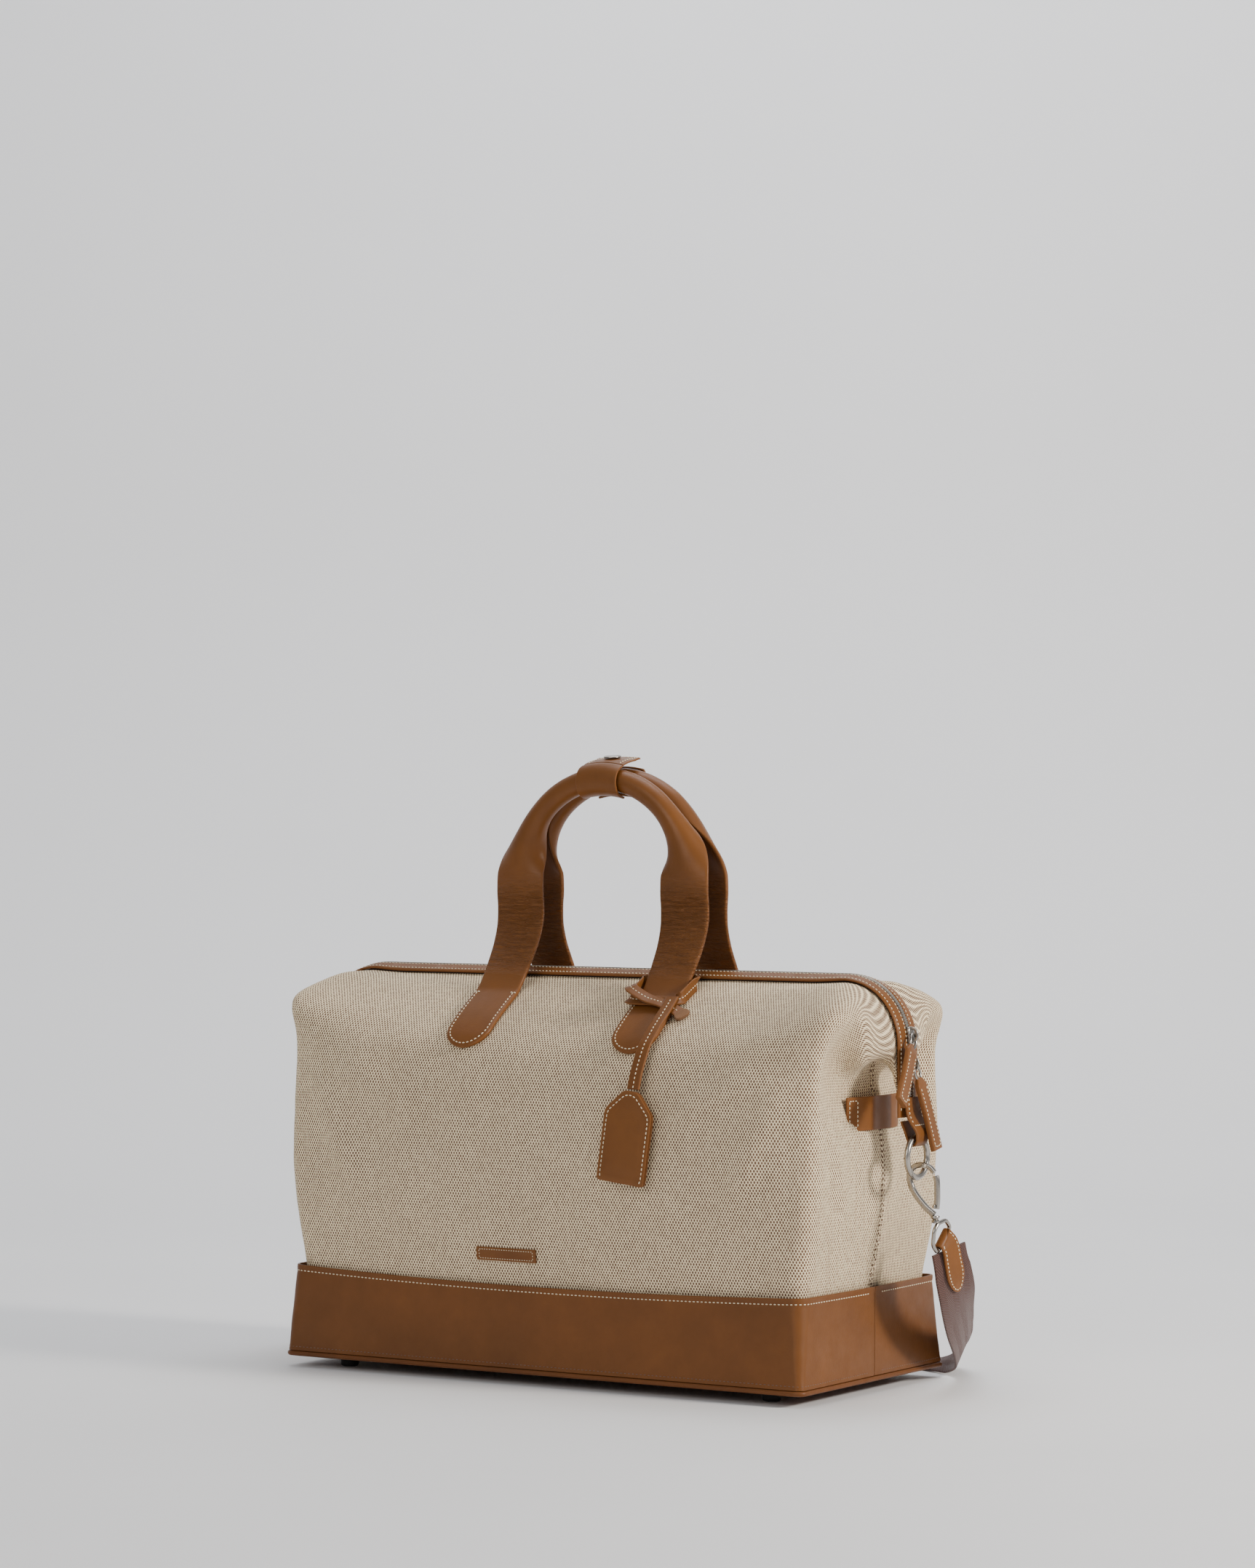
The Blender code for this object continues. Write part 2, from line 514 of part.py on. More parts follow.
# ---------------------------------------------------------------- ends: tab, ring, cross strap, hook
def build_end(side, sx):
    """Fittings of one end; sx = 1 right, -1 left."""
    flip = (lambda v: v) if sx > 0 else (lambda v: mirror(v, 0))
    def put(name, vf, kind, smooth=40):
        v, f = vf
        return add(name, flip(v), [tuple(q) for q in f], kind, smooth)
    # leather tab over the zip's end, folded under round the ring's top
    x_out = ZIP_XC + ZIP_R
    path = [(x_out + 0.0030, 0, 0.2380), (x_out + 0.0042, 0, 0.2240), (RING_X + 0.0044, 0, 0.2120), (RING_X + 0.0046, 0, 0.2060), (RING_X + 0.0032, 0, 0.2016), (RING_X, 0, 0.1998),
            (RING_X - 0.0032, 0, 0.2016), (RING_X - 0.0046, 0, 0.2060), (RING_X - 0.0058, 0, 0.2120), (x_out - 0.0016, 0, 0.2190)]
    fine = polyline(path, 2)
    def w(i):
        u = fine[i][2]
        ww = 0.0245 if u > 0.216 else lerp(0.0170, 0.0245, max(0.0, (u - 0.2035) / 0.0125))
        return [(-ww / 2, -0.0008), (ww / 2, -0.0008), (ww / 2, 0.0008), (-ww / 2, 0.0008)]
    put("zip_end_tab_" + side, sweep(fine, w, (0, 1, 0)) if False else strip(fine, w), "leather_top")
    # ring
    ring = [(RING_X, RING_R * math.sin(2 * math.pi * k / 28), RING_Z + RING_R * math.cos(2 * math.pi * k / 28)) for k in range(28)]
    put("strap_ring_" + side, sweep(ring, lambda i: circle(RING_WIRE, 8), (1, 0, 0), closed=True), "nickel", 60)
    # cross strap on the gusset, behind the hanging end of the zip
    zs = (0.2115, 0.2180, 0.2250, 0.2320, 0.2385)
    P = []
    for k in range(11):
        y = lerp(-0.046, 0.046, k / 10)
        x = max(cloth_side(max(abs(y) + e, 0.0), z) for z in zs for e in (-0.005, 0.0, 0.005))
        P.append([(x + 0.0026, y, z) for z in (zs[0], zs[-1])])
    v, f = shell(P, 0.0018)
    put("side_strap_" + side, (v, f), "leather_top")
    # snap hook hung on the ring
    hook = [(0.3038, 0.1452), (0.2960, 0.1510), (0.2868, 0.1610), (0.2822, 0.1705), (0.2822, 0.1778), (0.2862, 0.1826), (0.2930, 0.1842), (0.2998, 0.1826), (0.3042, 0.1788)]
    path = [(x, 0, z) for x, z in polyline(hook, 2)]
    # flat bar, deeper at the pivot end
    put("hook_body_" + side, sweep(path, lambda i: rect(0.0050, 0.0032, 0.0009, 1), (0, 0, 1) if False else up_of(path)), "nickel")
    gate = [(0.3054, 0, 0.1762), (0.3066, 0, 0.1700), (0.3066, 0, 0.1560), (0.3062, 0, 0.1500)]
    put("hook_gate_" + side, sweep(gate, lambda i: rect(0.0042, 0.0030, 0.0008, 1), up_of(gate)), "nickel")
    # swivel: neck and eye block below the hook
    v, f = cylinder((0.3048, 0, 0.1432), (0.10, 0, -1), 0.0030, 0.0030, 12)
    put("hook_swivel_" + side, (v, f), "nickel")
    # trapezium loop that the strap is sewn to
    a1, a2 = LOOP_BAR, LOOP_PULL
    c = LOOP_TOP + a2 * 0.0105
    shape = [(-0.0036, -0.0105), (0.0036, -0.0105), (0.0125, -0.0030), (0.0125, 0.0070), (-0.0125, 0.0070), (-0.0125, -0.0030)]
    lp = []
    m = len(shape)
    for k in range(m):
        p, q = shape[k], shape[(k + 1) % m]
        for u in (0.12, 0.5, 0.88):
            lp.append(tuple(c + a1 * lerp(p[0], q[0], u) + a2 * lerp(p[1], q[1], u)))
    put("strap_loop_" + side, sweep(lp, lambda i: circle(0.0016, 6), tuple(a1.cross(a2)), closed=True), "nickel", 60)


LOOP_TOP = Vector((0.3052, 0.0005, 0.1352))
LOOP_BAR = Vector((0.12, 0.62, 0.775)).normalized()
LOOP_PULL = Vector((-0.03, 0.775, -0.63)).normalized()


def up_of(path):
    return (0, 1, 0)


def strip(path, prof):
    """Flat strap along a path in the XZ plane, its width along Y."""
    secs = []
    n = len(path)
    for i in range(n):
        a, b = Vector(path[max(i - 1, 0)]), Vector(path[min(i + 1, n - 1)])
        t = (b - a).normalized()
        nrm = Vector((0, 1, 0)).cross(t).normalized()
        secs.append([tuple(Vector(path[i]) + Vector((0, 1, 0)) * w + nrm * h) for w, h in prof(i)])
    return loft(secs)


def cloth_side(y, z):
    """Outer x of the canvas on the gusset at distance y from the seam and height z."""
    best = None
    for a in range(0, 61):
        cu = 4.0 + 3.0 * a / 60
        for b in range(0, 41):
            p = cloth(cu, 1.5 + 2.7 * b / 40)
            d = abs(-p[1] - y) + abs(p[2] - z)
            if best is None or d < best[0]:
                best = (d, p[0])
    return best[1]


# ---------------------------------------------------------------- handles
def leg_y(z):
    """Distance of the front handle from the bag's middle plane at height z (negative y)."""
    pts = [(0.3162, -0.0490), (0.3215, -0.0442), (0.3280, -0.0392), (0.3400, -0.0312), (0.3600, -0.0195), (0.3800, -0.0140), (0.4000, -0.0128), (0.4200, -0.0126), (0.4550, -0.0118), (0.4920, -0.0110)]
    for (z0, y0), (z1, y1) in zip(pts, pts[1:]):
        if z <= z1:
            t = max(0.0, (z - z0) / (z1 - z0))
            return lerp(y0, y1, t)
    return pts[-1][1]


def handle_path():
    """Centre line of the front handle from its left fold to its right one, and the roll of the leather there (0 flat, 1 tube)."""
    pts = []
    zs = [(0.3162, 0.0), (0.3215, 0.0), (0.3280, 0.0), (0.3400, 0.0), (0.3540, 0.0), (0.3700, 0.02), (0.3850, 0.06), (0.3970, 0.12)]
    for z, r in zs:
        pts.append((-LEG_X, z, r))
    n = 20
    for k in range(n + 1):
        a = math.pi * (1 - k / n)
        x, z = ARCH_R * math.cos(a), ARCH_Z + ARCH_R * math.sin(a)
        e = min(k, n - k) / n
        pts.append((x, z, max(0.0, min(1.0, (e + 0.06) / 0.32))))
    for z, r in reversed(zs):
        pts.append((LEG_X, z, r))
    return pts


def leg_width(z):
    """The strap widens a little between its fold and the roll."""
    return lerp(STRAP_W * 0.965, 0.0455, max(0.0, min(1.0, (z - 0.318) / 0.060)))


def roll_section(r, m=8, strap=STRAP_W):
    """Strip of leather bent into a part tube: r = 0 flat, 1 rolled. Pairs (across, back), the back is towards the bag."""
    r = r * r * (3 - 2 * r)
    ang = math.radians(lerp(8, 318, r))
    width = lerp(strap, 2 * math.pi * (GRIP_R - STRAP_T / 2) * 318 / 360, r)
    rad = width / ang
    lift = rad if r < 0.5 else rad
    t = lerp(STRAP_T, 0.0030, r)
    out, inn = [], []
    for k in range(m + 1):
        a = lerp(-ang / 2, ang / 2, k / m)
        for lst, q in ((out, rad + t / 2), (inn, rad - t / 2)):
            x, y = q * math.sin(a), -q * math.cos(a)
            # hold the strip's middle on the line when flat, the tube's centre when rolled
            lst.append((x, y + lerp(rad, 0.0, r)))
    return out + inn[::-1]


def handle_solid():
    P = handle_path()
    secs = []
    n = len(P)
    for i, (x, z, r) in enumerate(P):
        a, b = P[max(i - 1, 0)], P[min(i + 1, n - 1)]
        t = Vector((b[0] - a[0], leg_y(b[1]) - leg_y(a[1]), b[1] - a[1])).normalized()
        # across runs in the arch's plane, away from its inside
        front = Vector((0, -1, 0))
        across = t.cross(front).normalized()
        back = across.cross(t).normalized()
        if back.y < 0:
            back = -back
        c = Vector((x, leg_y(z), z))
        secs.append([tuple(c + across * u + back * w) for u, w in roll_section(r, strap=leg_width(z))])
    return secs


def build_handles():
    secs = handle_solid()
    v, f = loft(secs)
    add("handle_front", v, f, "leather_top", 50)
    add("handle_back", mirror(v, 1), [tuple(reversed(q)) for q in f], "leather_top", 50)
    # cord core inside each rolled grip
    n = 16
    core = []
    for k in range(n + 1):
        a = math.radians(lerp(146, 34, k / n))
        x, z = ARCH_R * math.cos(a), ARCH_Z + ARCH_R * math.sin(a)
        core.append((x, leg_y(z), z))
    v, f = sweep(core, lambda i: circle(0.0046, 8), (0, 1, 0))
    add("handle_core_front", v, f, "cord", 60)
    add("handle_core_back", mirror(v, 1), [tuple(reversed(q)) for q in f], "cord", 60)
    # four sewn tabs that carry on down the roof from the fold, with a round end
    for fb, sy in (("front", -1), ("back", 1)):
        for lr, sx in (("left", -1), ("right", 1)):
            ys = [-0.0508, -0.0550, -0.0600, -0.0670, -0.0740, -0.0800, -0.0850, -0.0895, -0.0930, -0.0960, -0.0985, -0.1001, -0.1008]
            P = []
            m = 6
            total = 0.0
            cl = [(y, roof(LEG_X, y)) for y in ys]
            L = [0.0]
            for (y0, z0), (y1, z1) in zip(cl, cl[1:]):
                L.append(L[-1] + math.hypot(y1 - y0, z1 - z0))
            hw = STRAP_W / 2
            for (y, z), l in zip(cl, L):
                rest = L[-1] - l
                w = hw if rest > hw else math.sqrt(max(0.0, hw * hw - (hw - rest) ** 2))
                w = max(w, 0.0040)
                P.append([(LEG_X + lerp(-w, w, k / m), y, z) for k in range(m + 1)])
            out = []
            for i, row in enumerate(P):
                a, b = cl[max(i - 1, 0)], cl[min(i + 1, len(cl) - 1)]
                tn = Vector((0, b[0] - a[0], b[1] - a[1])).normalized()
                nn = Vector((0, tn.z, -tn.y))
                if nn.z < 0:
                    nn = -nn
                out.append([tuple(Vector(p) + nn * (0.0019 + STRAP_T)) for p in row])
            v, f = shell(out, STRAP_T - 0.0002, 1)
            vol = volume6(v, f)
            if sx < 0:
                v = mirror(v, 0)
            if sy > 0:
                v = mirror(v, 1)
            add("handle_tab_%s_%s" % (fb, lr), v, f, "leather_top", 40)


def build_keeper():
    """Leather keeper round the two grips: a sleeve on each, and a flap over the top with a snap."""
    zc = ARCH_Z + ARCH_R
    yc = leg_y(zc)
    half = 0.0195
    def arc_sheet(y0, a0, a1, r, t, n):
        # part of a tube along X round a grip, bent with the arch
        P = []
        for i in range(7):
            x = lerp(-half, half, i / 6)
            zz = ARCH_Z + math.sqrt(ARCH_R ** 2 - x * x)
            row = []
            for k in range(n + 1):
                a = math.radians(lerp(a0, a1, k / n))
                row.append((x, y0 + r * math.cos(a), zz + r * math.sin(a)))
            P.append(row)
        return shell(P, t, 1)
    R = GRIP_R + 0.0024
    v, f = arc_sheet(yc, 100, 275, R, 0.0016, 9)
    add("keeper_sleeve_front", v, f, "leather_top", 60)
    v2, f2 = arc_sheet(yc, 128, 275, R, 0.0016, 8)
    add("keeper_sleeve_back", mirror(v2, 1), [tuple(reversed(q)) for q in f2], "leather_top", 60)
    # flap: from the front sleeve's top edge back over both grips
    P = []
    prof = [(yc - 0.0016, zc + R + 0.0006), (yc + 0.004, zc + R + 0.0022), (yc + 0.012, zc + R + 0.0036), (yc + 0.021, zc + R + 0.0044), (yc + 0.0300, zc + R + 0.0052)]
    for i in range(7):
        x = lerp(-half, half, i / 6)
        dz = math.sqrt(ARCH_R ** 2 - x * x) - ARCH_R
        P.append([(x, y, z + dz * (1 - 0.6 * k / 4) + 0.0014) for k, (y, z) in enumerate(prof)])
    v, f = shell(P, 0.0016, 1)
    add("keeper_flap", v, f, "leather_top", 60)
    v, f = cylinder((0.0, yc + 0.0125, zc + R + 0.0056), (0, -0.10, 1), 0.0072, 0.0016, 20, 0.0007)
    add("snap_cap", v, f, "nickel", 40)


def build_tag():
    # loop round the foot of the front-right handle leg
    x0 = LEG_X
    hw = STRAP_W / 2 + 0.0032
    off = roof_off(LEG_X, -0.0590, 0.0076)
    (yf, zf), (yb, zb) = off, (-0.0326, 0.3272)
    loop, ups = [], []
    cor = [(-hw, yf, zf, 0), (hw, yf, zf, 0), (hw, yb, zb, 1), (-hw, yb, zb, 1)]
    for k in range(4):
        p, q = cor[k], cor[(k + 1) % 4]
        for u in (0.14, 0.5, 0.86):
            loop.append((x0 + lerp(p[0], q[0], u), lerp(p[1], q[1], u), lerp(p[2], q[2], u)))
            w = lerp(p[3], q[3], u)
            ups.append((0.0, lerp(0.800, 0.50, w), lerp(0.60, 0.87, w)))
    v, f = sweep(loop, lambda i: rect(0.0014, 0.0080), lambda i: ups[i], closed=True)
    add("tag_loop", v, f, "leather_top", 50)
    # hanging strap, then the tag itself
    s = []
    for x, y, o in ((0.0985, -0.0575, 0.0092), (0.0990, -0.0640, 0.0086), (0.0992, -0.0740, 0.0078), (0.0992, -0.0840, 0.0078), (0.0990, -0.0930, 0.0078), (0.0986, -0.0995, 0.0084)):
        q = roof_off(x, y, o)
        s.append((x, q[0], q[1]))
    s += [(0.0982, -0.1160, 0.2585), (0.0976, -0.1205, 0.2440)]
    s = polyline(s, 2)
    secs = []
    for i, p in enumerate(s):
        a, b = Vector(s[max(i - 1, 0)]), Vector(s[min(i + 1, len(s) - 1)])
        t = (b - a).normalized()
        nrm = Vector((1, 0, 0)).cross(t).normalized()
        if nrm.y > 0:
            nrm = -nrm
        sd = t.cross(nrm).normalized()
        secs.append([tuple(Vector(p) + sd * w + nrm * h) for w, h in ((-0.0055, -0.0009), (0.0055, -0.0009), (0.0055, 0.0009), (-0.0055, 0.0009))])
    v, f = loft(secs)
    add("tag_strap", v, f, "leather_top", 40)
    # house-shaped holder, open at the bottom for the card
    c = Vector((0.0972, -0.1222, 0.2425))
    d = Vector((-0.125, -0.03, -0.99)).normalized()
    n = Vector((0.05, -1.0, 0.03))
    n = (n - d * n.dot(d)).normalized()
    sd = d.cross(n).normalized()
    if sd.x < 0:
        sd = -sd
    H, W = 0.0740, 0.0430
    out = [(-0.0062, 0.0), (0.0062, 0.0), (W / 2, 0.0170), (W / 2, H), (-W / 2, H), (-W / 2, 0.0170)]
    T = 0.0046
    v, f = loft([[tuple(c + sd * a + d * b + n * h) for a, b in out] for h in (-T / 2, T / 2)])
    holder = add("tag_holder", v, f, "leather_top", 30)
    v, f = loft([[tuple(c + sd * a + d * b + n * h) for a, b in ((-0.0180, 0.0200), (0.0180, 0.0200), (0.0180, H + 0.005), (-0.0180, H + 0.005))] for h in (-0.0009, 0.0009)])
    cut = add("tag_slot_guide", v, f, "card", 0)
    cut.hide_render = True
    cut.display_type = "WIRE"
    m = holder.modifiers.new("slot", "BOOLEAN")
    m.operation, m.solver, m.object = "DIFFERENCE", "EXACT", cut
    v, f = loft([[tuple(c + sd * a + d * b + n * h) for a, b in ((-0.0174, 0.0215), (0.0174, 0.0215), (0.0174, H - 0.001), (-0.0174, H - 0.001))] for h in (-0.0004, 0.0004)])
    add("tag_card", v, f, "card", 30)


# ---------------------------------------------------------------- shoulder strap
WEB_ROUTE = [
    # centre line (x, y, z) and the direction across the webbing
    ((0.3062, 0.0195, 0.1165), (0.28, 0.95, 0.05)),
    ((0.3078, 0.0240, 0.0980), (0.30, 0.95, 0.05)),
    ((0.3040, 0.0390, 0.0770), (0.26, 0.93, 0.25)),
    ((0.2920, 0.0660, 0.0550), (0.15, 0.85, 0.50)),
    ((0.2765, 0.1000, 0.0360), (0.05, 0.72, 0.69)),
    ((0.2570, 0.1330, 0.0200), (-0.05, 0.75, 0.60)),
    ((0.2260, 0.1570, 0.0070), (-0.05, 0.95, 0.20)),
    ((0.1850, 0.1690, 0.0024), (0.0, 1.0, 0.0)),
    ((0.1300, 0.1740, 0.0020), (0.0, 1.0, 0.0)),
    ((0.0600, 0.1765, 0.0020), (0.0, 1.0, 0.0)),
    ((0.0000, 0.1768, 0.0020), (0.0, 1.0, 0.0)),
]


def web_path():
    """Route from the right hook, behind the bag and back to the left hook: centre and across."""
    right = [(Vector(p), Vector(d).normalized()) for p, d in WEB_ROUTE]
    left = [(Vector((-p.x, p.y, p.z)), Vector((-d.x, d.y, d.z))) for p, d in right[-2::-1]]
    return right + left


def build_strap():
    pts = web_path()
    P = polyline([tuple(p) for p, _ in pts], 3)
    D = polyline([tuple(d) for _, d in pts], 3)
    secs = []
    n = len(P)
    for i in range(n):
        t = (Vector(P[min(i + 1, n - 1)]) - Vector(P[max(i - 1, 0)])).normalized()
        across = Vector(D[i])
        across = (across - t * across.dot(t)).normalized()
        nrm = t.cross(across).normalized()
        c = Vector(P[i])
        w, h = WEB_W / 2, WEB_T / 2
        low = min((c + across * a + nrm * b).z for a in (-w, w) for b in (-h, h))
        if low < 0.0006:
            c = c + Vector((0, 0, 0.0006 - low))
        secs.append([tuple(c + across * a + nrm * b) for a, b in ((-w, -h), (w, -h), (w, h), (-w, h))])
    v, f = loft(secs)
    add("shoulder_strap", v, f, "webbing", 40)
    # leather ends sewn on, each looped round its metal loop
    for side, sx in (("right", 1), ("left", -1)):
        a3 = LOOP_PULL.cross(LOOP_BAR).normalized()
        bar = LOOP_TOP + LOOP_PULL * 0.0175
        q = [(tuple(bar - a3 * 0.0031 + LOOP_PULL * 0.0045), tuple(LOOP_BAR))]
        for k in range(7):
            th = math.radians(lerp(-90, 90, k / 6))
            q.append((tuple(bar - LOOP_PULL * 0.0031 * math.cos(th) + a3 * 0.0031 * math.sin(th)), tuple(LOOP_BAR)))
        q += [((0.3096, 0.0170, 0.1180), (0.22, 0.85, 0.40)), ((0.3104, 0.0200, 0.1060), (0.28, 0.94, 0.12)), ((0.3104, 0.0242, 0.0950), (0.30, 0.95, 0.05)), ((0.3078, 0.0330, 0.0820), (0.26, 0.93, 0.20))]
        P2 = polyline([a for a, _ in q], 2)
        D2 = polyline([b for _, b in q], 2)
        secs = []
        last = None
        for i in range(len(P2)):
            t = (Vector(P2[min(i + 1, len(P2) - 1)]) - Vector(P2[max(i - 1, 0)])).normalized()
            ac = Vector(D2[i])
            ac = (ac - t * ac.dot(t)).normalized()
            nrm = t.cross(ac).normalized()
            if last is not None and nrm.dot(last) < 0:
                nrm = -nrm
            last = nrm
            u = i / (len(P2) - 1)
            w = 0.0082 if u < 0.6 else (0.0088 if u < 0.88 else 0.0088 * math.sqrt(max(0.12, 1 - ((u - 0.88) / 0.12) ** 2)))
            secs.append([tuple(Vector(P2[i]) + ac * a + nrm * b) for a, b in ((-w, -0.0010), (w, -0.0010), (w, 0.0010), (-w, 0.0010))])
        v, f = loft(secs)
        if sx < 0:
            v = mirror(v, 0)
        add("strap_end_" + side, v, f, "leather_top", 40)
    # sliding adjuster on the part that lies behind the bag
    o = []
    w, d = 0.0225, 0.0085
    path = [(-0.06 + a, 0.1768 + b, 0.0050) for a, b in ((-d, -w), (0, -w - 0.0), (d, -w), (d, 0), (d, w), (0, w), (-d, w), (-d, 0))]
    v, f = sweep(path, lambda i: rect(0.0020, 0.0020), (0, 0, 1), closed=True)
    add("strap_adjuster", v, f, "nickel", 40)


def build_logo():
    # blank leather plate where a maker would stitch a name
    cx, z0, z1 = -0.031, 0.0990, 0.1100
    P = []
    for i in range(5):
        x = cx + lerp(-0.0290, 0.0290, i / 4)
        P.append([(x, front_y(x, z) - 0.0018, z) for z in (z0, z1)])
    v, f = shell(P, 0.0012)
    add("blank_plate", v, f, "leather_top", 40)


def front_y(x, z):
    best = None
    for b in range(0, 81):
        p = cloth(min(abs(x) / 0.08, 1.0), 0.8 + 1.6 * b / 80)
        if best is None or abs(p[2] - z) < best[0]:
            best = (abs(p[2] - z), p[1])
    return best[1]


clear_scene()
build_base()
build_canvas()
build_lining()
build_zip()
build_pulls()
for s, k in (("right", 1), ("left", -1)):
    build_end(s, k)
build_handles()
build_keeper()
build_tag()
build_strap()
build_logo()
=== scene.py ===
"""Looks of the weekender bag: cloth, leather, thread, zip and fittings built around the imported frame."""
import sys
import bpy
import bmesh
import json
import math
from mathutils import Matrix, Vector, noise
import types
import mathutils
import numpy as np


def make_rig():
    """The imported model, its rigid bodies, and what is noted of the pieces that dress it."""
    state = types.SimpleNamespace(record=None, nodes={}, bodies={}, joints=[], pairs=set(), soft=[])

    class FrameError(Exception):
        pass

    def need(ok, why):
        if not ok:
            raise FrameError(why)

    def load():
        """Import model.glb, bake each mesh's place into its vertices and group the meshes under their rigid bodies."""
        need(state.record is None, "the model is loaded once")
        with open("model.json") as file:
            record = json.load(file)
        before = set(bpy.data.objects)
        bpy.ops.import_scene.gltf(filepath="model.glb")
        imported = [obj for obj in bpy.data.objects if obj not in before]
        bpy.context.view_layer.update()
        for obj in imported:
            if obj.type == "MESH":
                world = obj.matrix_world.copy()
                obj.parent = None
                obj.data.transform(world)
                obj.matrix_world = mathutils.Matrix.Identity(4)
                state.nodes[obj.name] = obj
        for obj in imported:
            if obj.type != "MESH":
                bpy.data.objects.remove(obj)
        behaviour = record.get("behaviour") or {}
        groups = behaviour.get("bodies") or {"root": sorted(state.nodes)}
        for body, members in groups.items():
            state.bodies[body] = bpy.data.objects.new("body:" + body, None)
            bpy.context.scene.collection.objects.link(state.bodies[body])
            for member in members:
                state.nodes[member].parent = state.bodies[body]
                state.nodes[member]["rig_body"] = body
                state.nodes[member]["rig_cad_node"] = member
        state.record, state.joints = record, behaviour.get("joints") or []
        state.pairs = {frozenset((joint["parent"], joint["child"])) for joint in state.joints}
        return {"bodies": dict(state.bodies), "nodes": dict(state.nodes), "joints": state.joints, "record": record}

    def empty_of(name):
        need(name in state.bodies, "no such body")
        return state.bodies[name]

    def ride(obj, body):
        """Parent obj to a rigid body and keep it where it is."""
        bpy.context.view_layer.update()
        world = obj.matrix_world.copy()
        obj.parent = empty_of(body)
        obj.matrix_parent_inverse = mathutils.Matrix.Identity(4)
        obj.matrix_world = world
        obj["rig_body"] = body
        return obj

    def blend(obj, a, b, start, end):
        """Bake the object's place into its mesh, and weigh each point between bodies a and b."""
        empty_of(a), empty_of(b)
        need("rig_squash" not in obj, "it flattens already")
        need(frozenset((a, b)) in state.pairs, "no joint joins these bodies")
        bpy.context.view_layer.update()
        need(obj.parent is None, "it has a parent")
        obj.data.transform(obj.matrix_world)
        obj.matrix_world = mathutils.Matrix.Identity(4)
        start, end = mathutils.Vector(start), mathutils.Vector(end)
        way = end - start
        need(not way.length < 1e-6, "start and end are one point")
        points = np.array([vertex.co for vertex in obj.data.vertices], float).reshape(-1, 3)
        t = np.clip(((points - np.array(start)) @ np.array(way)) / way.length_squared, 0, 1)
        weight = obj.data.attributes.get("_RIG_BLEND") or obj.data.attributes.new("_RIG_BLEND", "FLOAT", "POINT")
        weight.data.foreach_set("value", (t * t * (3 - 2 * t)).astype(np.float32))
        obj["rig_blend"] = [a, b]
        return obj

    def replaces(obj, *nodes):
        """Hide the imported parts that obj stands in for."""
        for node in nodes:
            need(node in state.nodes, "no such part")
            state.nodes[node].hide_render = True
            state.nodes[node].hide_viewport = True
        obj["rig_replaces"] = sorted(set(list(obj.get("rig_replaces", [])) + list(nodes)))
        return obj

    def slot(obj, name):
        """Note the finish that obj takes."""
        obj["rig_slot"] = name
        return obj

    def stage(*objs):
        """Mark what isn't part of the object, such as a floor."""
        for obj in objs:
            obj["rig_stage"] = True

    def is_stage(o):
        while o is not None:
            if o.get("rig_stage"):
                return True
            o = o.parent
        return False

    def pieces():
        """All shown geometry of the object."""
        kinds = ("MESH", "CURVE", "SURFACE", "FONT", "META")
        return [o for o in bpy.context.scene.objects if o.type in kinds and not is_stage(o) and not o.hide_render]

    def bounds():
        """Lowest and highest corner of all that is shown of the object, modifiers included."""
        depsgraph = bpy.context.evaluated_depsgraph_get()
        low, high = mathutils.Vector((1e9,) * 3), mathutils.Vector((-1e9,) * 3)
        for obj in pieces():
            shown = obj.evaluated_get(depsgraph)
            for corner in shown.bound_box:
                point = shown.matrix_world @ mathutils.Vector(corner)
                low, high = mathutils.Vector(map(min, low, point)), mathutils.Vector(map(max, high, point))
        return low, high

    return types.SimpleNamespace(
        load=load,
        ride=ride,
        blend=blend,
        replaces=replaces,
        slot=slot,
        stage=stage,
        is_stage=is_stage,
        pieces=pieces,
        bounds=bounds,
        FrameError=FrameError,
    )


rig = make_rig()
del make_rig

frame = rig.load()
CAD_BOX = [list(map(float, c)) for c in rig.bounds()]

# ---------------------------------------------------------------- dimensions, as in the design
BASE_W, BASE_D = 0.500, 0.232
TOP_W, TOP_D = 0.4935, 0.2200
FOOT_R, FOOT_H, FOOT_X, FOOT_Y = 0.0075, 0.0087, 0.205, 0.086
BAND_Z0, BAND_Z1 = 0.0136, 0.0850
ZIP_Z, ZIP_R, ZIP_XC = 0.335, 0.056, 0.226
ZIP_ZC = ZIP_Z - ZIP_R
ZIP_END = 0.371
LEG_X, STRAP_W, STRAP_T = 0.0805, 0.042, 0.0036
GRIP_R, ARCH_R, ARCH_Z = 0.0098, 0.0805, 0.4105
RING_X, RING_Z, RING_R, RING_WIRE = 0.2885, 0.1905, 0.0163, 0.0025
WEB_W, WEB_T = 0.038, 0.0022
YS = 0.0053
ARC = ZIP_R * math.pi / 2
SL_UP = ZIP_XC + ZIP_R * (math.pi / 2 - math.radians(8.0))
SL_LO = ZIP_XC + ARC + 0.0150


# ---------------------------------------------------------------- maths
def lerp(a, b, t):
    return a + (b - a) * t


def clamp(t, a=0.0, b=1.0):
    return max(a, min(b, t))


def smooth(a, b, x):
    t = clamp((x - a) / (b - a)) if a != b else float(x > a)
    return t * t * (3 - 2 * t)


def catmull(pts, u):
    n = len(pts)
    i = min(int(u), n - 2)
    t = u - i
    p1, p2 = pts[i], pts[i + 1]
    p0 = pts[i - 1] if i > 0 else tuple(2 * a - b for a, b in zip(p1, p2))
    p3 = pts[i + 2] if i + 2 < n else tuple(2 * b - a for a, b in zip(p1, p2))
    return tuple(0.5 * (2 * b + (c - a) * t + (2 * a - 5 * b + 4 * c - d) * t * t + (3 * b - a - 3 * c + d) * t ** 3) for a, b, c, d in zip(p0, p1, p2, p3))


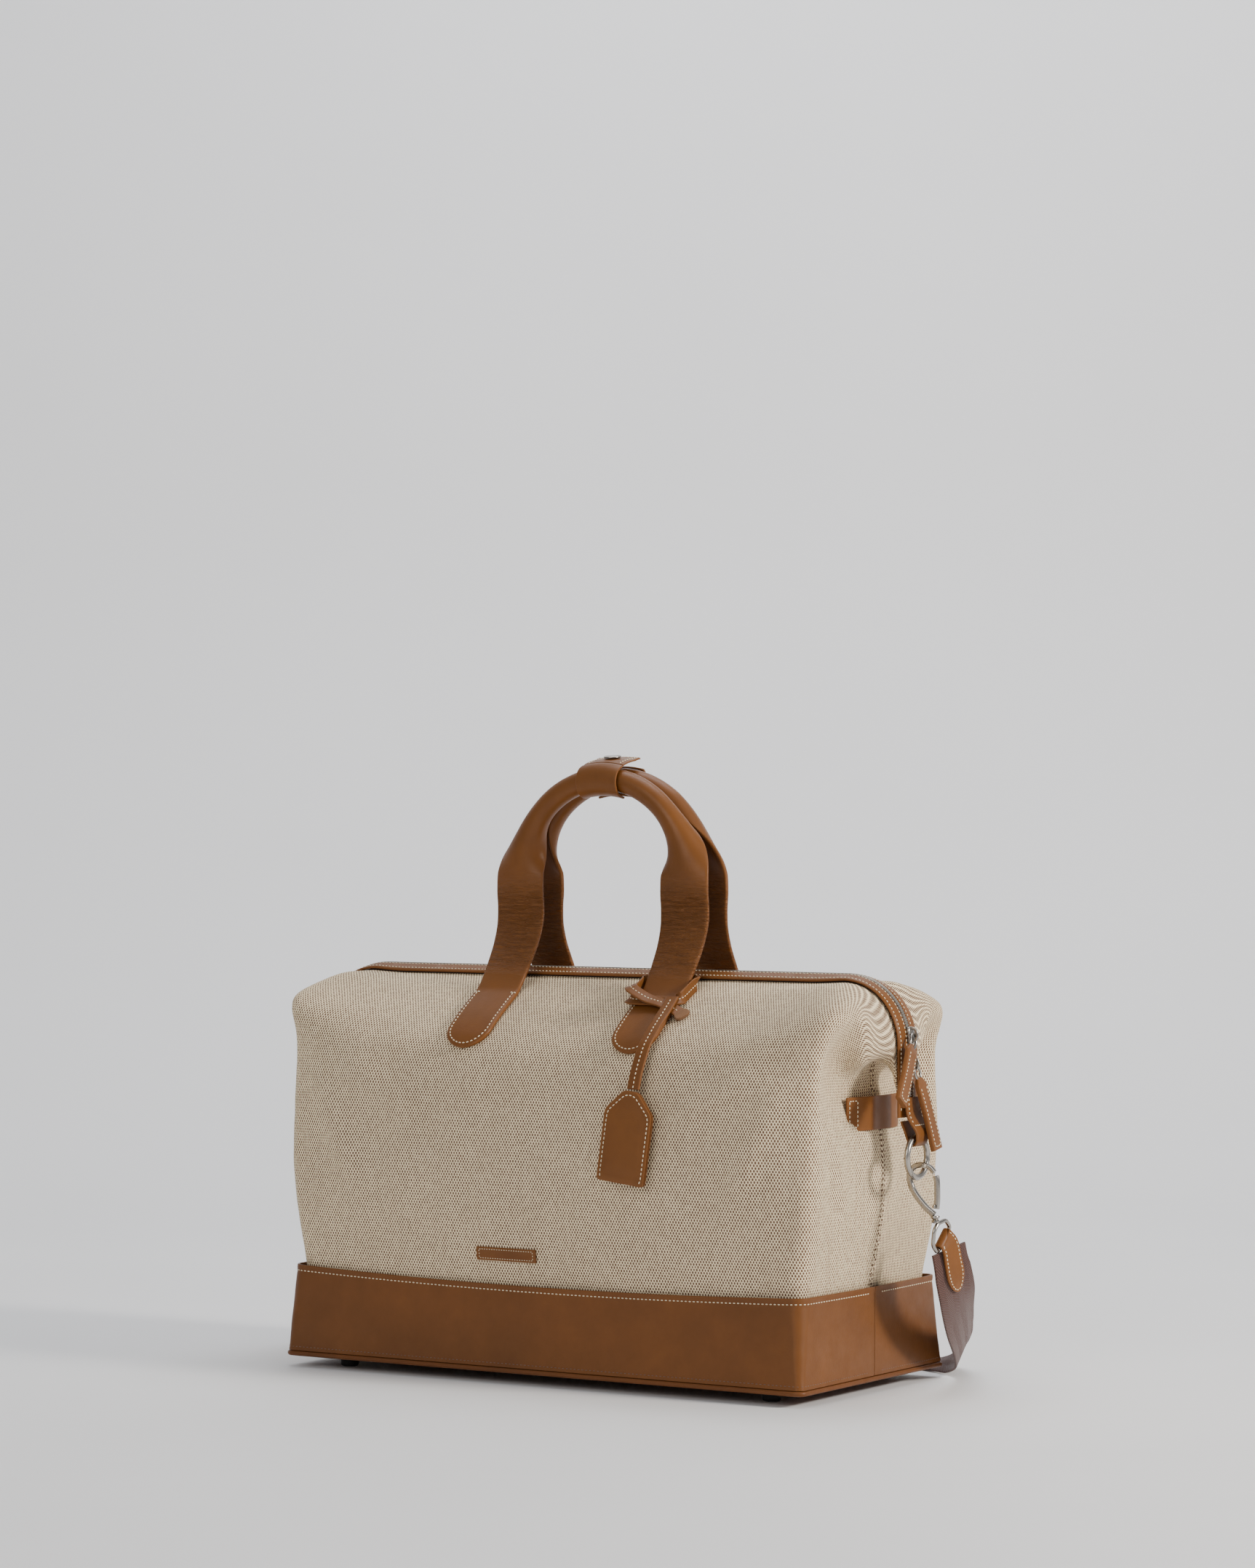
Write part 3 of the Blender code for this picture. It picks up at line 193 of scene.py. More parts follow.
def polyline(pts, per):
    n = (len(pts) - 1) * per
    return [catmull(pts, i / per) for i in range(n)] + [tuple(pts[-1])]


def resample(path, step):
    """Points a fixed distance apart along a polyline of tuples (any extra values ride along)."""
    L = [0.0]
    for a, b in zip(path, path[1:]):
        L.append(L[-1] + math.dist(a[:3], b[:3]))
    n = max(1, round(L[-1] / step))
    out, k = [], 0
    for i in range(n + 1):
        s = L[-1] * i / n
        while k < len(L) - 2 and L[k + 1] < s:
            k += 1
        t = (s - L[k]) / max(L[k + 1] - L[k], 1e-9)
        out.append(tuple(lerp(a, b, t) for a, b in zip(path[k], path[k + 1])))
    return out


def fbm(p, scale, octaves=3, seed=0.0):
    q = Vector(p) * scale + Vector((seed, seed * 1.7, -seed))
    v, a = 0.0, 0.5
    for _ in range(octaves):
        v += a * noise.noise(q)
        q = q * 2.03
        a *= 0.5
    return v


def frames(path, up, closed=False):
    out, n = [], len(path)
    for i in range(n):
        a = Vector(path[(i - 1) % n if closed else max(i - 1, 0)])
        b = Vector(path[(i + 1) % n if closed else min(i + 1, n - 1)])
        t = (b - a).normalized()
        u = Vector(up(i) if callable(up) else up)
        s = t.cross(u).normalized()
        out.append((t, s, s.cross(t).normalized()))
    return out


def loft(sections, closed=False):
    m, k = len(sections[0]), len(sections)
    v = [p for s in sections for p in s]
    f = []
    for i in range(k if closed else k - 1):
        a, b = i * m, ((i + 1) % k) * m
        for j in range(m):
            c = (j + 1) % m
            f.append((a + j, a + c, b + c, b + j))
    if not closed:
        f.append(tuple(reversed(range(m))))
        f.append(tuple(range((k - 1) * m, k * m)))
    return v, f


def sweep(path, profile, up, closed=False):
    secs = []
    for i, (p, (t, s, l)) in enumerate(zip(path, frames(path, up, closed))):
        secs.append([tuple(Vector(p) + s * a + l * b) for a, b in profile(i)])
    return loft(secs, closed)


def rect(w, h, r=0.0, n=3):
    if r <= 0:
        return [(-w / 2, -h / 2), (w / 2, -h / 2), (w / 2, h / 2), (-w / 2, h / 2)]
    pts = []
    for cx, cy, a0 in ((w / 2 - r, -h / 2 + r, -90), (w / 2 - r, h / 2 - r, 0), (-w / 2 + r, h / 2 - r, 90), (-w / 2 + r, -h / 2 + r, 180)):
        for k in range(n + 1):
            a = math.radians(a0 + 90 * k / n)
            pts.append((cx + r * math.cos(a), cy + r * math.sin(a)))
    return pts


def flat(w, t, m=6, r=None):
    """Strap section: flat faces cut into m, eased edges."""
    r = t * 0.38 if r is None else r
    pts = []
    for k in range(m + 1):
        pts.append((lerp(-w / 2 + r, w / 2 - r, k / m), -t / 2))
    for k in range(1, 4):
        a = math.radians(-90 + 90 * k / 4)
        pts.append((w / 2 - r + r * math.cos(a), -t / 2 + r + r * math.sin(a)))
    pts.append((w / 2, 0.0))
    for k in range(1, 4):
        a = math.radians(90 * k / 4)
        pts.append((w / 2 - r + r * math.cos(a), t / 2 - r + r * math.sin(a)))
    for k in range(m + 1):
        pts.append((lerp(w / 2 - r, -w / 2 + r, k / m), t / 2))
    for k in range(1, 4):
        a = math.radians(90 + 90 * k / 4)
        pts.append((-w / 2 + r + r * math.cos(a), t / 2 - r + r * math.sin(a)))
    pts.append((-w / 2, 0.0))
    for k in range(1, 4):
        a = math.radians(180 + 90 * k / 4)
        pts.append((-w / 2 + r + r * math.cos(a), -t / 2 + r + r * math.sin(a)))
    return pts


def circle(r, n=16):
    return [(r * math.cos(2 * math.pi * k / n), r * math.sin(2 * math.pi * k / n)) for k in range(n)]


def normals(P):
    nu, nv = len(P), len(P[0])
    N = []
    for i in range(nu):
        row = []
        for j in range(nv):
            a = Vector(P[min(i + 1, nu - 1)][j]) - Vector(P[max(i - 1, 0)][j])
            b = Vector(P[i][min(j + 1, nv - 1)]) - Vector(P[i][max(j - 1, 0)])
            row.append(a.cross(b).normalized())
        N.append(row)
    return N


def shell(P, t):
    nu, nv = len(P), len(P[0])
    N = normals(P)
    outer = [tuple(p) for r in P for p in r]
    inner = [tuple(Vector(P[i][j]) - N[i][j] * t) for i in range(nu) for j in range(nv)]
    v, m, f = outer + inner, nu * nv, []
    idx = lambda i, j: i * nv + j
    for i in range(nu - 1):
        for j in range(nv - 1):
            q = (idx(i, j), idx(i + 1, j), idx(i + 1, j + 1), idx(i, j + 1))
            f.append(q)
            f.append(tuple(m + k for k in reversed(q)))
    for i in range(nu - 1):
        for j, s in ((0, 1), (nv - 1, -1)):
            a, b = idx(i, j), idx(i + 1, j)
            f.append((b, a, m + a, m + b)[::s])
    for j in range(nv - 1):
        for i, s in ((0, -1), (nu - 1, 1)):
            a, b = idx(i, j), idx(i, j + 1)
            f.append((b, a, m + a, m + b)[::s])
    return v, f


def mirror(v, axis):
    return [tuple(-c if i == axis else c for i, c in enumerate(p)) for p in v]


def signed(v, f):
    t = 0.0
    for p in f:
        a = Vector(v[p[0]])
        for i in range(1, len(p) - 1):
            t += a.dot(Vector(v[p[i]]).cross(Vector(v[p[i + 1]])))
    return t


MATS = {}
BODY = {}


def piece(name, vf, mat, body, stands=(), smooth_deg=40, bevel=0.0, seg=2, subsurf=0, slot=None, attrs=None, uv=None):
    """A shown piece of the bag, riding on a body and standing for the named design nodes."""
    v, f = vf
    if signed(v, f) < 0:
        f = [tuple(reversed(q)) for q in f]
    me = bpy.data.meshes.new(name)
    me.from_pydata([(p[0], p[1] + YS, p[2]) for p in v], [], f)
    me.validate()
    me.update()
    ob = bpy.data.objects.new(name, me)
    bpy.context.scene.collection.objects.link(ob)
    me.materials.append(MATS[mat])
    me.shade_smooth()
    me.set_sharp_from_angle(angle=math.radians(smooth_deg))
    if uv:
        lay = me.uv_layers.new(name="cloth")
        for lp in me.loops:
            lay.data[lp.index].uv = uv[lp.vertex_index]
    for key, vals in (attrs or {}).items():
        at = me.attributes.new(key, "FLOAT", "POINT")
        at.data.foreach_set("value", vals)
    if bevel:
        b = ob.modifiers.new("edge", "BEVEL")
        b.width, b.segments, b.limit_method, b.angle_limit = bevel, seg, "ANGLE", math.radians(38)
        b.harden_normals = False
    if subsurf:
        s = ob.modifiers.new("round", "SUBSURF")
        s.levels = s.render_levels = subsurf
    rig.ride(ob, body)
    if stands:
        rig.replaces(ob, *stands)
    if slot:
        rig.slot(ob, slot)
    return ob


def stitches(name, runs, body, mat="thread", pitch=0.0037, length=0.0027, r=0.00042, lift=0.00012, slot="trim_leather"):
    r, lift, length = (r * 1.15, lift + r * 0.15, length * 0.86) if mat == "thread" else (r, lift, length)
    """Rows of thread: runs is a list of polylines of (x, y, z, nx, ny, nz)."""
    V, F = [], []
    K, R = 6, 5
    for run in runs:
        pts = resample(run, pitch)
        for a, b in zip(pts, pts[1:]):
            p, q = Vector(a[:3]), Vector(b[:3])
            d = q - p
            if d.length < 1e-6:
                continue
            d = d.normalized()
            nrm = Vector(a[3:6]) + Vector(b[3:6])
            if nrm.length < 1e-6:
                continue
            nrm = (nrm - d * nrm.dot(d)).normalized()
            sd = d.cross(nrm)
            c = (p + q) / 2 + nrm * lift
            base = len(V)
            for i in range(R):
                u = lerp(-1, 1, i / (R - 1))
                rr = r * (0.45 if i in (0, R - 1) else 1.0)
                dip = -r * 0.9 * u * u
                for k in range(K):
                    an = 2 * math.pi * k / K
                    V.append(tuple(c + d * (u * length / 2) + sd * (rr * math.cos(an)) + nrm * (rr * math.sin(an) + dip)))
            for i in range(R - 1):
                for k in range(K):
                    k2 = (k + 1) % K
                    F.append((base + i * K + k, base + i * K + k2, base + (i + 1) * K + k2, base + (i + 1) * K + k))
            F.append(tuple(base + k for k in reversed(range(K))))
            F.append(tuple(base + (R - 1) * K + k for k in range(K)))
    return piece(name, (V, F), mat, body, smooth_deg=80, slot=slot)


# ---------------------------------------------------------------- materials
class Nodes:
    def __init__(self, name):
        self.m = bpy.data.materials.new(name)
        self.m.use_nodes = True
        self.t = self.m.node_tree
        self.b = self.t.nodes["Principled BSDF"]
        MATS[name] = self.m

    def new(self, kind, **kw):
        n = self.t.nodes.new(kind)
        for k, v in kw.items():
            setattr(n, k, v)
        return n

    def link(self, a, b):
        self.t.links.new(a, b)

    def put(self, sock, v):
        if isinstance(v, bpy.types.NodeSocket):
            self.link(v, sock)
        else:
            sock.default_value = v

    def math(self, op, a, b=0.0, c=0.0):
        n = self.new("ShaderNodeMath", operation=op)
        for s, v in zip(n.inputs, (a, b, c)):
            self.put(s, v)
        return n.outputs[0]

    def coord(self, kind="Object"):
        return self.new("ShaderNodeTexCoord").outputs[kind]

    def scaled(self, vec, s, rot=(0, 0, 0)):
        n = self.new("ShaderNodeMapping")
        self.link(vec, n.inputs["Vector"])
        n.inputs["Scale"].default_value = s if isinstance(s, tuple) else (s, s, s)
        n.inputs["Rotation"].default_value = rot
        return n.outputs[0]

    def noise(self, vec, scale, detail=4.0, rough=0.55, dist=0.0):
        n = self.new("ShaderNodeTexNoise")
        self.link(vec, n.inputs["Vector"])
        n.inputs["Scale"].default_value = scale
        n.inputs["Detail"].default_value = detail
        n.inputs["Roughness"].default_value = rough
        n.inputs["Distortion"].default_value = dist
        return n.outputs["Fac"]

    def voronoi(self, vec, scale, feature="F1", out="Distance"):
        n = self.new("ShaderNodeTexVoronoi", feature=feature)
        self.link(vec, n.inputs["Vector"])
        n.inputs["Scale"].default_value = scale
        return n.outputs[out]

    def ramp(self, fac, stops, interp="LINEAR"):
        n = self.new("ShaderNodeValToRGB")
        n.color_ramp.interpolation = interp
        e = n.color_ramp.elements
        while len(e) < len(stops):
            e.new(0.5)
        for el, (p, c) in zip(e, stops):
            el.position = p
            el.color = (*c, 1) if not isinstance(c, float) else (c, c, c, 1)
        self.put(n.inputs["Fac"], fac)
        return n.outputs["Color"]

    def mix(self, fac, a, b, blend="MIX"):
        n = self.new("ShaderNodeMix", data_type="RGBA", blend_type=blend)
        self.put(n.inputs[0], fac)
        for s, v in ((n.inputs[6], a), (n.inputs[7], b)):
            if isinstance(v, tuple):
                s.default_value = (*v, 1)
            else:
                self.link(v, s)
        return n.outputs[2]

    def bump(self, h, strength, dist, prev=None):
        n = self.new("ShaderNodeBump")
        n.inputs["Strength"].default_value = strength
        n.inputs["Distance"].default_value = dist
        self.link(h, n.inputs["Height"])
        if prev is not None:
            self.link(prev, n.inputs["Normal"])
        return n.outputs[0]

    def range(self, v, a, b, c, d):
        n = self.new("ShaderNodeMapRange")
        for k, x in zip(("Value", "From Min", "From Max", "To Min", "To Max"), (v, a, b, c, d)):
            self.put(n.inputs[k], x)
        return n.outputs[0]

    def finish(self, color, rough, normal=None, metal=0.0, **fixed):
        self.put(self.b.inputs["Base Color"], color)
        self.put(self.b.inputs["Roughness"], rough)
        self.b.inputs["Metallic"].default_value = metal
        if normal is not None:
            self.link(normal, self.b.inputs["Normal"])
        for k, v in fixed.items():
            self.b.inputs[k.replace("_", " ")].default_value = v
        return self.m


def leather(name, base, rough=(0.36, 0.52), grain=0.16, mottle=0.22, crease=0.0, edge_col=None):
    g = Nodes(name)
    co = g.coord()
    big = g.noise(co, 11.0, 5.0, 0.6)
    mid = g.noise(co, 70.0, 4.0, 0.6)
    dark = tuple(c * (1 - mottle) for c in base)
    lite = tuple(min(1, c * (1 + mottle * 0.9)) for c in base)
    col = g.ramp(big, [(0.30, dark), (0.5, base), (0.72, lite)])
    col = g.mix(g.range(mid, 0.35, 0.70, 0.0, 0.35), col, tuple(c * 0.80 for c in base))
    pores = g.voronoi(co, 1150.0)
    fine = g.noise(co, 1700.0, 3.0, 0.5)
    col = g.mix(g.range(pores, 0.0, 0.28, 0.16, 0.0), col, tuple(c * 0.45 for c in base))
    at = g.new("ShaderNodeAttribute", attribute_name="edge").outputs["Fac"]
    col = g.mix(at, col, edge_col or tuple(min(1, c * 1.10 + 0.002) for c in base))
    cell = g.voronoi(g.scaled(co, (1.0, 1.0, 1.0)), 620.0, "SMOOTH_F1")
    nrm = g.bump(cell, grain, 0.00045)
    nrm = g.bump(fine, grain * 0.55, 0.00018, nrm)
    nrm = g.bump(mid, 0.10, 0.0009, nrm)
    if crease:
        w = g.noise(g.scaled(co, (70.0, 70.0, 430.0)), 1.0, 5.0, 0.62, 0.5)
        w = g.range(w, 0.40, 0.62, 0.0, 1.0)
        w = g.math("MULTIPLY", w, g.new("ShaderNodeAttribute", attribute_name="crease").outputs["Fac"])
        nrm = g.bump(w, crease, 0.0011, nrm)
    r = g.range(mid, 0.3, 0.7, rough[0], rough[1])
    return g.finish(col, r, nrm, Specular_IOR_Level=0.26, Sheen_Weight=0.0)


def canvas_material(name="canvas", cream=(0.95, 0.775, 0.51), brown=(0.085, 0.034, 0.018), px=0.0026, py=0.0022):
    g = Nodes(name)
    uv = g.new("ShaderNodeUVMap", uv_map="cloth").outputs[0]
    sep = g.new("ShaderNodeSeparateXYZ")
    # threads wander a little
    wob = g.noise(uv, 60.0, 3.0, 0.6)
    g.link(uv, sep.inputs[0])
    u, v = sep.outputs[0], sep.outputs[1]
    v = g.math("ADD", v, g.range(wob, 0, 1, -0.0006, 0.0006))
    rows = g.math("DIVIDE", v, py)
    row = g.math("FLOOR", rows)
    fy = g.math("SUBTRACT", g.math("SUBTRACT", rows, row), 0.5)
    half = g.math("MULTIPLY", g.math("FLOORED_MODULO", row, 2.0), 0.5)
    us = g.math("ADD", g.math("DIVIDE", u, px), half)
    cell = g.math("FLOOR", us)
    fx = g.math("SUBTRACT", g.math("SUBTRACT", us, cell), 0.5)
    # a dark warp end shows as a small upright oval in each cell
    dx = g.math("DIVIDE", fx, 0.31)
    dy = g.math("DIVIDE", fy, 0.52)
    d = g.math("ADD", g.math("POWER", g.math("ABSOLUTE", dx), 2.4), g.math("POWER", g.math("ABSOLUTE", dy), 2.4))
    rnd = g.new("ShaderNodeTexWhiteNoise", noise_dimensions="2D")
    cmb = g.new("ShaderNodeCombineXYZ")
    g.link(cell, cmb.inputs[0])
    g.link(row, cmb.inputs[1])
    g.link(cmb.outputs[0], rnd.inputs["Vector"])
    size = g.range(rnd.outputs["Value"], 0.0, 1.0, 0.75, 1.25)
    dot = g.range(g.math("DIVIDE", d, size), 0.55, 1.15, 1.0, 0.0)
    slub = g.noise(g.scaled(uv, (35.0, 900.0, 1.0)), 1.0, 3.0, 0.6)
    big = g.noise(uv, 9.0, 4.0, 0.55)
    fib = g.noise(uv, 2600.0, 2.0, 0.7)
    c = g.ramp(big, [(0.3, tuple(x * 0.93 for x in cream)), (0.7, tuple(min(1, x * 1.05) for x in cream))])
    c = g.mix(g.range(slub, 0.4, 0.75, 0.0, 0.30), c, tuple(x * 0.84 for x in cream))
    c = g.mix(g.range(fib, 0.3, 0.7, 0.0, 0.15), c, tuple(x * 0.80 for x in cream))
    b = g.mix(g.range(fib, 0.3, 0.7, 0.0, 0.5), brown, tuple(x * 1.9 for x in brown))
    col = g.mix(g.math("MULTIPLY", dot, 0.93), c, b)
    # thread relief: plump light picks between the sunk dark ends
    bx = g.math("COSINE", g.math("MULTIPLY", fx, 6.2832))
    h = g.math("SUBTRACT", g.math("MULTIPLY", g.math("COSINE", g.math("MULTIPLY", fy, 6.2832)), 0.5), g.math("MULTIPLY", bx, 0.5))
    nrm = g.bump(h, 0.55, 0.00022)
    nrm = g.bump(fib, 0.25, 0.00012, nrm)
    return g.finish(col, g.range(fib, 0, 1, 0.82, 0.95), nrm, Specular_IOR_Level=0.12, Sheen_Weight=0.04, Sheen_Roughness=0.55)


def webbing_material(name="webbing", a=(0.085, 0.034, 0.024), b=(0.044, 0.018, 0.013)):
    g = Nodes(name)
    uv = g.new("ShaderNodeUVMap", uv_map="cloth").outputs[0]
    sep = g.new("ShaderNodeSeparateXYZ")
    g.link(uv, sep.inputs[0])
    u, v = sep.outputs[0], sep.outputs[1]
    # herringbone: columns 6.3 mm wide whose ribs run up to the left and the right in turn
    w = 0.00633
    col_i = g.math("DIVIDE", u, w)
    tri = g.math("PINGPONG", u, w)
    ph = g.math("MULTIPLY", g.math("ADD", v, g.math("MULTIPLY", tri, 1.0)), 6.2832 / 0.0021)
    rib = g.math("SINE", ph)
    fine = g.math("SINE", g.math("MULTIPLY", u, 6.2832 / 0.0008))
    n1 = g.noise(uv, 1500.0, 2.0, 0.6)
    c = g.mix(g.range(rib, -0.7, 0.8, 0.0, 1.0), b, a)
    c = g.mix(g.range(n1, 0.3, 0.7, 0.0, 0.4), c, tuple(x * 1.7 for x in a))
    nrm = g.bump(rib, 0.6, 0.00030)
    nrm = g.bump(fine, 0.3, 0.00012, nrm)
    return g.finish(c, g.range(n1, 0, 1, 0.62, 0.85), nrm, Specular_IOR_Level=0.28, Sheen_Weight=0.22)


def metal(name, col, rough=(0.20, 0.34), brushed=0.05):
    g = Nodes(name)
    co = g.coord()
    n1 = g.noise(co, 45.0, 4.0, 0.6)
    n2 = g.noise(g.scaled(co, (1400.0, 1400.0, 320.0)), 1.0, 2.0, 0.6)
    c = g.ramp(n1, [(0.3, tuple(x * 0.88 for x in col)), (0.7, col)])
    nrm = g.bump(n2, brushed, 0.00008)
    return g.finish(c, g.range(n1, 0.3, 0.7, rough[0], rough[1]), nrm, metal=1.0)


def thread(name, col):
    g = Nodes(name)
    co = g.coord()
    n = g.noise(co, 900.0, 3.0, 0.6)
    c = g.ramp(n, [(0.3, tuple(x * 0.72 for x in col)), (0.7, col)])
    nrm = g.bump(n, 0.4, 0.00015)
    return g.finish(c, g.range(n, 0, 1, 0.55, 0.75), nrm, Sheen_Weight=0.15)


def plain(name, col, rough, scale=300.0, bump=0.3, dist=0.0003, spec=0.3, var=0.18):
    g = Nodes(name)
    co = g.coord()
    n = g.noise(co, scale, 5.0, 0.62)
    big = g.noise(co, 18.0, 3.0, 0.5)
    c = g.ramp(n, [(0.3, tuple(x * (1 - var) for x in col)), (0.7, tuple(min(1, x * (1 + var)) for x in col))])
    c = g.mix(g.range(big, 0.3, 0.7, 0.0, 0.25), c, tuple(x * 0.8 for x in col))
    return g.finish(c, g.range(n, 0, 1, max(0.02, rough - 0.06), min(1, rough + 0.06)), g.bump(n, bump, dist), Specular_IOR_Level=spec)


def twill(name, a, b, pitch=0.0011):
    g = Nodes(name)
    co = g.coord()
    sep = g.new("ShaderNodeSeparateXYZ")
    g.link(co, sep.inputs[0])
    s = g.math("ADD", g.math("ADD", sep.outputs[0], sep.outputs[1]), sep.outputs[2])
    rib = g.math("SINE", g.math("MULTIPLY", s, 6.2832 / pitch))
    n = g.noise(co, 700.0, 4.0, 0.6)
    c = g.mix(g.range(rib, -0.6, 0.8, 0.0, 1.0), b, a)
    c = g.mix(g.range(n, 0.35, 0.7, 0.0, 0.4), c, tuple(x * 0.7 for x in a))
    nrm = g.bump(rib, 0.5, 0.0002)
    return g.finish(c, g.range(n, 0, 1, 0.75, 0.92), nrm, Sheen_Weight=0.2, Specular_IOR_Level=0.2)


leather("base_leather", (0.152, 0.054, 0.0115), rough=(0.40, 0.52), grain=0.12)
leather("handle_leather", (0.168, 0.059, 0.0115), rough=(0.34, 0.48), grain=0.12, crease=0.0)
leather("leg_leather", (0.168, 0.059, 0.0115), rough=(0.34, 0.46), grain=0.12, crease=0.95)
leather("trim_leather", (0.165, 0.058, 0.0110), rough=(0.38, 0.50), grain=0.12)
leather("piping_leather", (0.140, 0.047, 0.010), rough=(0.40, 0.54), grain=0.12)
plain("suede", (0.20, 0.105, 0.055), 0.9, 900.0, 0.5, 0.0004, 0.15)
canvas_material()
webbing_material()
metal("nickel", (0.40, 0.37, 0.33), (0.20, 0.32))
metal("antique", (0.40, 0.35, 0.29), (0.28, 0.42))
thread("thread", (0.88, 0.74, 0.50))
thread("brown_thread", (0.16, 0.085, 0.05))
thread("core", (0.62, 0.57, 0.48))
plain("rubber", (0.018, 0.017, 0.016), 0.62)
plain("board", (0.30, 0.25, 0.19), 0.85, 420.0, 0.35)
plain("card", (0.83, 0.81, 0.76), 0.75, 500.0, 0.15)
twill("lining", (0.33, 0.24, 0.15), (0.26, 0.18, 0.11))
twill("tape", (0.115, 0.058, 0.034), (0.075, 0.036, 0.022), 0.0008)


# ---------------------------------------------------------------- zip run
def zip_at(t):
    s, t = (-1.0 if t < 0 else 1.0), abs(t)
    if t <= ZIP_XC:
        p, a = (t, ZIP_Z), 0.0
    elif t <= ZIP_XC + ARC:
        a = (t - ZIP_XC) / ZIP_R
        p = (ZIP_XC + ZIP_R * math.sin(a), ZIP_ZC + ZIP_R * math.cos(a))
    else:
        a = math.pi / 2
        p = (ZIP_XC + ZIP_R, ZIP_ZC - (t - ZIP_XC - ARC))
    n = (math.sin(a), math.cos(a))
    return (s * p[0], p[1]), (s * n[0], n[1])


def zip_pt(t, y, n):
    p, nn = zip_at(t)
    return (p[0] + nn[0] * n, y, p[1] + nn[1] * n)


def zslope(t):
    """How steeply the zip's leather bands fall away from its ridge: a roof on top, nearly flat round the bends."""
    u = max(0.0, min(1.0, (abs(t) - (ZIP_XC - 0.030)) / 0.075))
    return lerp(0.40, 0.10, u * u * (3 - 2 * u))


def zunder(t):
    """Depth of the canvas edge under the band, measured from the ridge."""
    return -(0.0039 + 0.0098 * zslope(t))


def zedge(t, y=-0.0128, n=None):
    return zip_pt(t, y, zunder(t) if n is None else n)


RUN = [0.0, 0.080, 0.150, 0.201, 0.238, 0.270, 0.312, 0.358]
COLUMNS = [
    [(0.000, -0.1060, 0.066), (0.000, -0.1066, 0.083), (0.000, -0.1140, 0.150), (0.000, -0.1130, 0.213), (0.000, -0.1080, 0.252), (0.000, -0.0925, 0.2800), (0.000, -0.0490, 0.3110), zedge(0.0)],
    [(0.080, -0.1060, 0.066), (0.080, -0.1066, 0.083), (0.080, -0.1137, 0.150), (0.080, -0.1130, 0.213), (0.080, -0.1080, 0.252), (0.080, -0.0925, 0.2800), (0.080, -0.0484, 0.3124), zedge(0.080)],
    [(0.150, -0.1055, 0.066), (0.150, -0.1062, 0.083), (0.151, -0.1130, 0.150), (0.152, -0.1125, 0.213), (0.153, -0.1080, 0.253), (0.154, -0.0930, 0.2830), (0.152, -0.0480, 0.3150), zedge(0.150)],
    [(0.200, -0.1050, 0.066), (0.200, -0.1056, 0.083), (0.203, -0.1120, 0.150), (0.207, -0.1110, 0.215), (0.212, -0.1065, 0.260), (0.216, -0.0920, 0.2950), (0.210, -0.0470, 0.3210), zedge(0.201)],
    [(0.2365, -0.1010, 0.066), (0.2375, -0.1015, 0.083), (0.2465, -0.1050, 0.150), (0.2505, -0.1020, 0.215), (0.2535, -0.0960, 0.268), (0.2620, -0.0870, 0.3060), (0.2500, -0.0440, 0.3255), zedge(0.238)],
    [(0.2425, -0.0700, 0.066), (0.2435, -0.0705, 0.083), (0.2520, -0.0720, 0.150), (0.2525, -0.0700, 0.212), (0.2445, -0.0670, 0.266), (0.2690, -0.0570, 0.2985), (0.2655, -0.0335, 0.3095), zedge(0.270)],
    [(0.2425, -0.0350, 0.066), (0.2440, -0.0352, 0.083), (0.2540, -0.0360, 0.150), (0.2535, -0.0345, 0.208), (0.2430, -0.0370, 0.250), (0.2630, -0.0400, 0.2670), (0.2762, -0.0270, 0.2780), zedge(0.312)],
    [(0.2430, -0.0004, 0.066), (0.2445, -0.0004, 0.083), (0.2565, -0.0004, 0.150), (0.2555, -0.0004, 0.208), (0.2470, -0.0004, 0.246), (0.2500, -0.0004, 0.2660), (0.2655, -0.0004, 0.2600), zedge(0.358, y=-0.0004, n=-0.0090)],
]


def cloth(cu, rv):
    col = []
    first = [tuple(-c if k == 0 else c for k, c in enumerate(p)) for p in COLUMNS[1]]
    n = len(COLUMNS)
    i = min(int(cu), n - 2)
    t = cu - i
    for r in range(len(COLUMNS[0])):
        p1, p2 = COLUMNS[i][r], COLUMNS[i + 1][r]
        p0 = COLUMNS[i - 1][r] if i > 0 else first[r]
        p3 = COLUMNS[i + 2][r] if i + 2 < n else (p1[0], -p1[1], p1[2])
        col.append(tuple(0.5 * (2 * b + (c - a) * t + (2 * a - 5 * b + 4 * c - d) * t * t + (3 * b - a - 3 * c + d) * t ** 3) for a, b, c, d in zip(p0, p1, p2, p3)))
    p = catmull(col, rv)
    return (p[0], min(p[1], -0.0004), p[2])


def roof(x, y):
    col = [catmull([COLUMNS[k][r] for k in range(len(COLUMNS))], abs(x) / 0.08 if abs(x) < 0.08 else 1 + (abs(x) - 0.08) / 0.07) for r in range(8)]
    best = None
    for k in range(561):
        p = catmull(col, 3.0 + 4.0 * k / 560)
        if best is None or abs(p[1] - y) < abs(best[1] - y):
            best = p
    return best[2]


def roof_off(x, y, d):
    a, b = roof(x, y - 0.003), roof(x, y + 0.003)
    n = Vector((-(b - a), 0.006)).normalized()
    return (y + n.x * d, (a + b) / 2 + n.y * d)


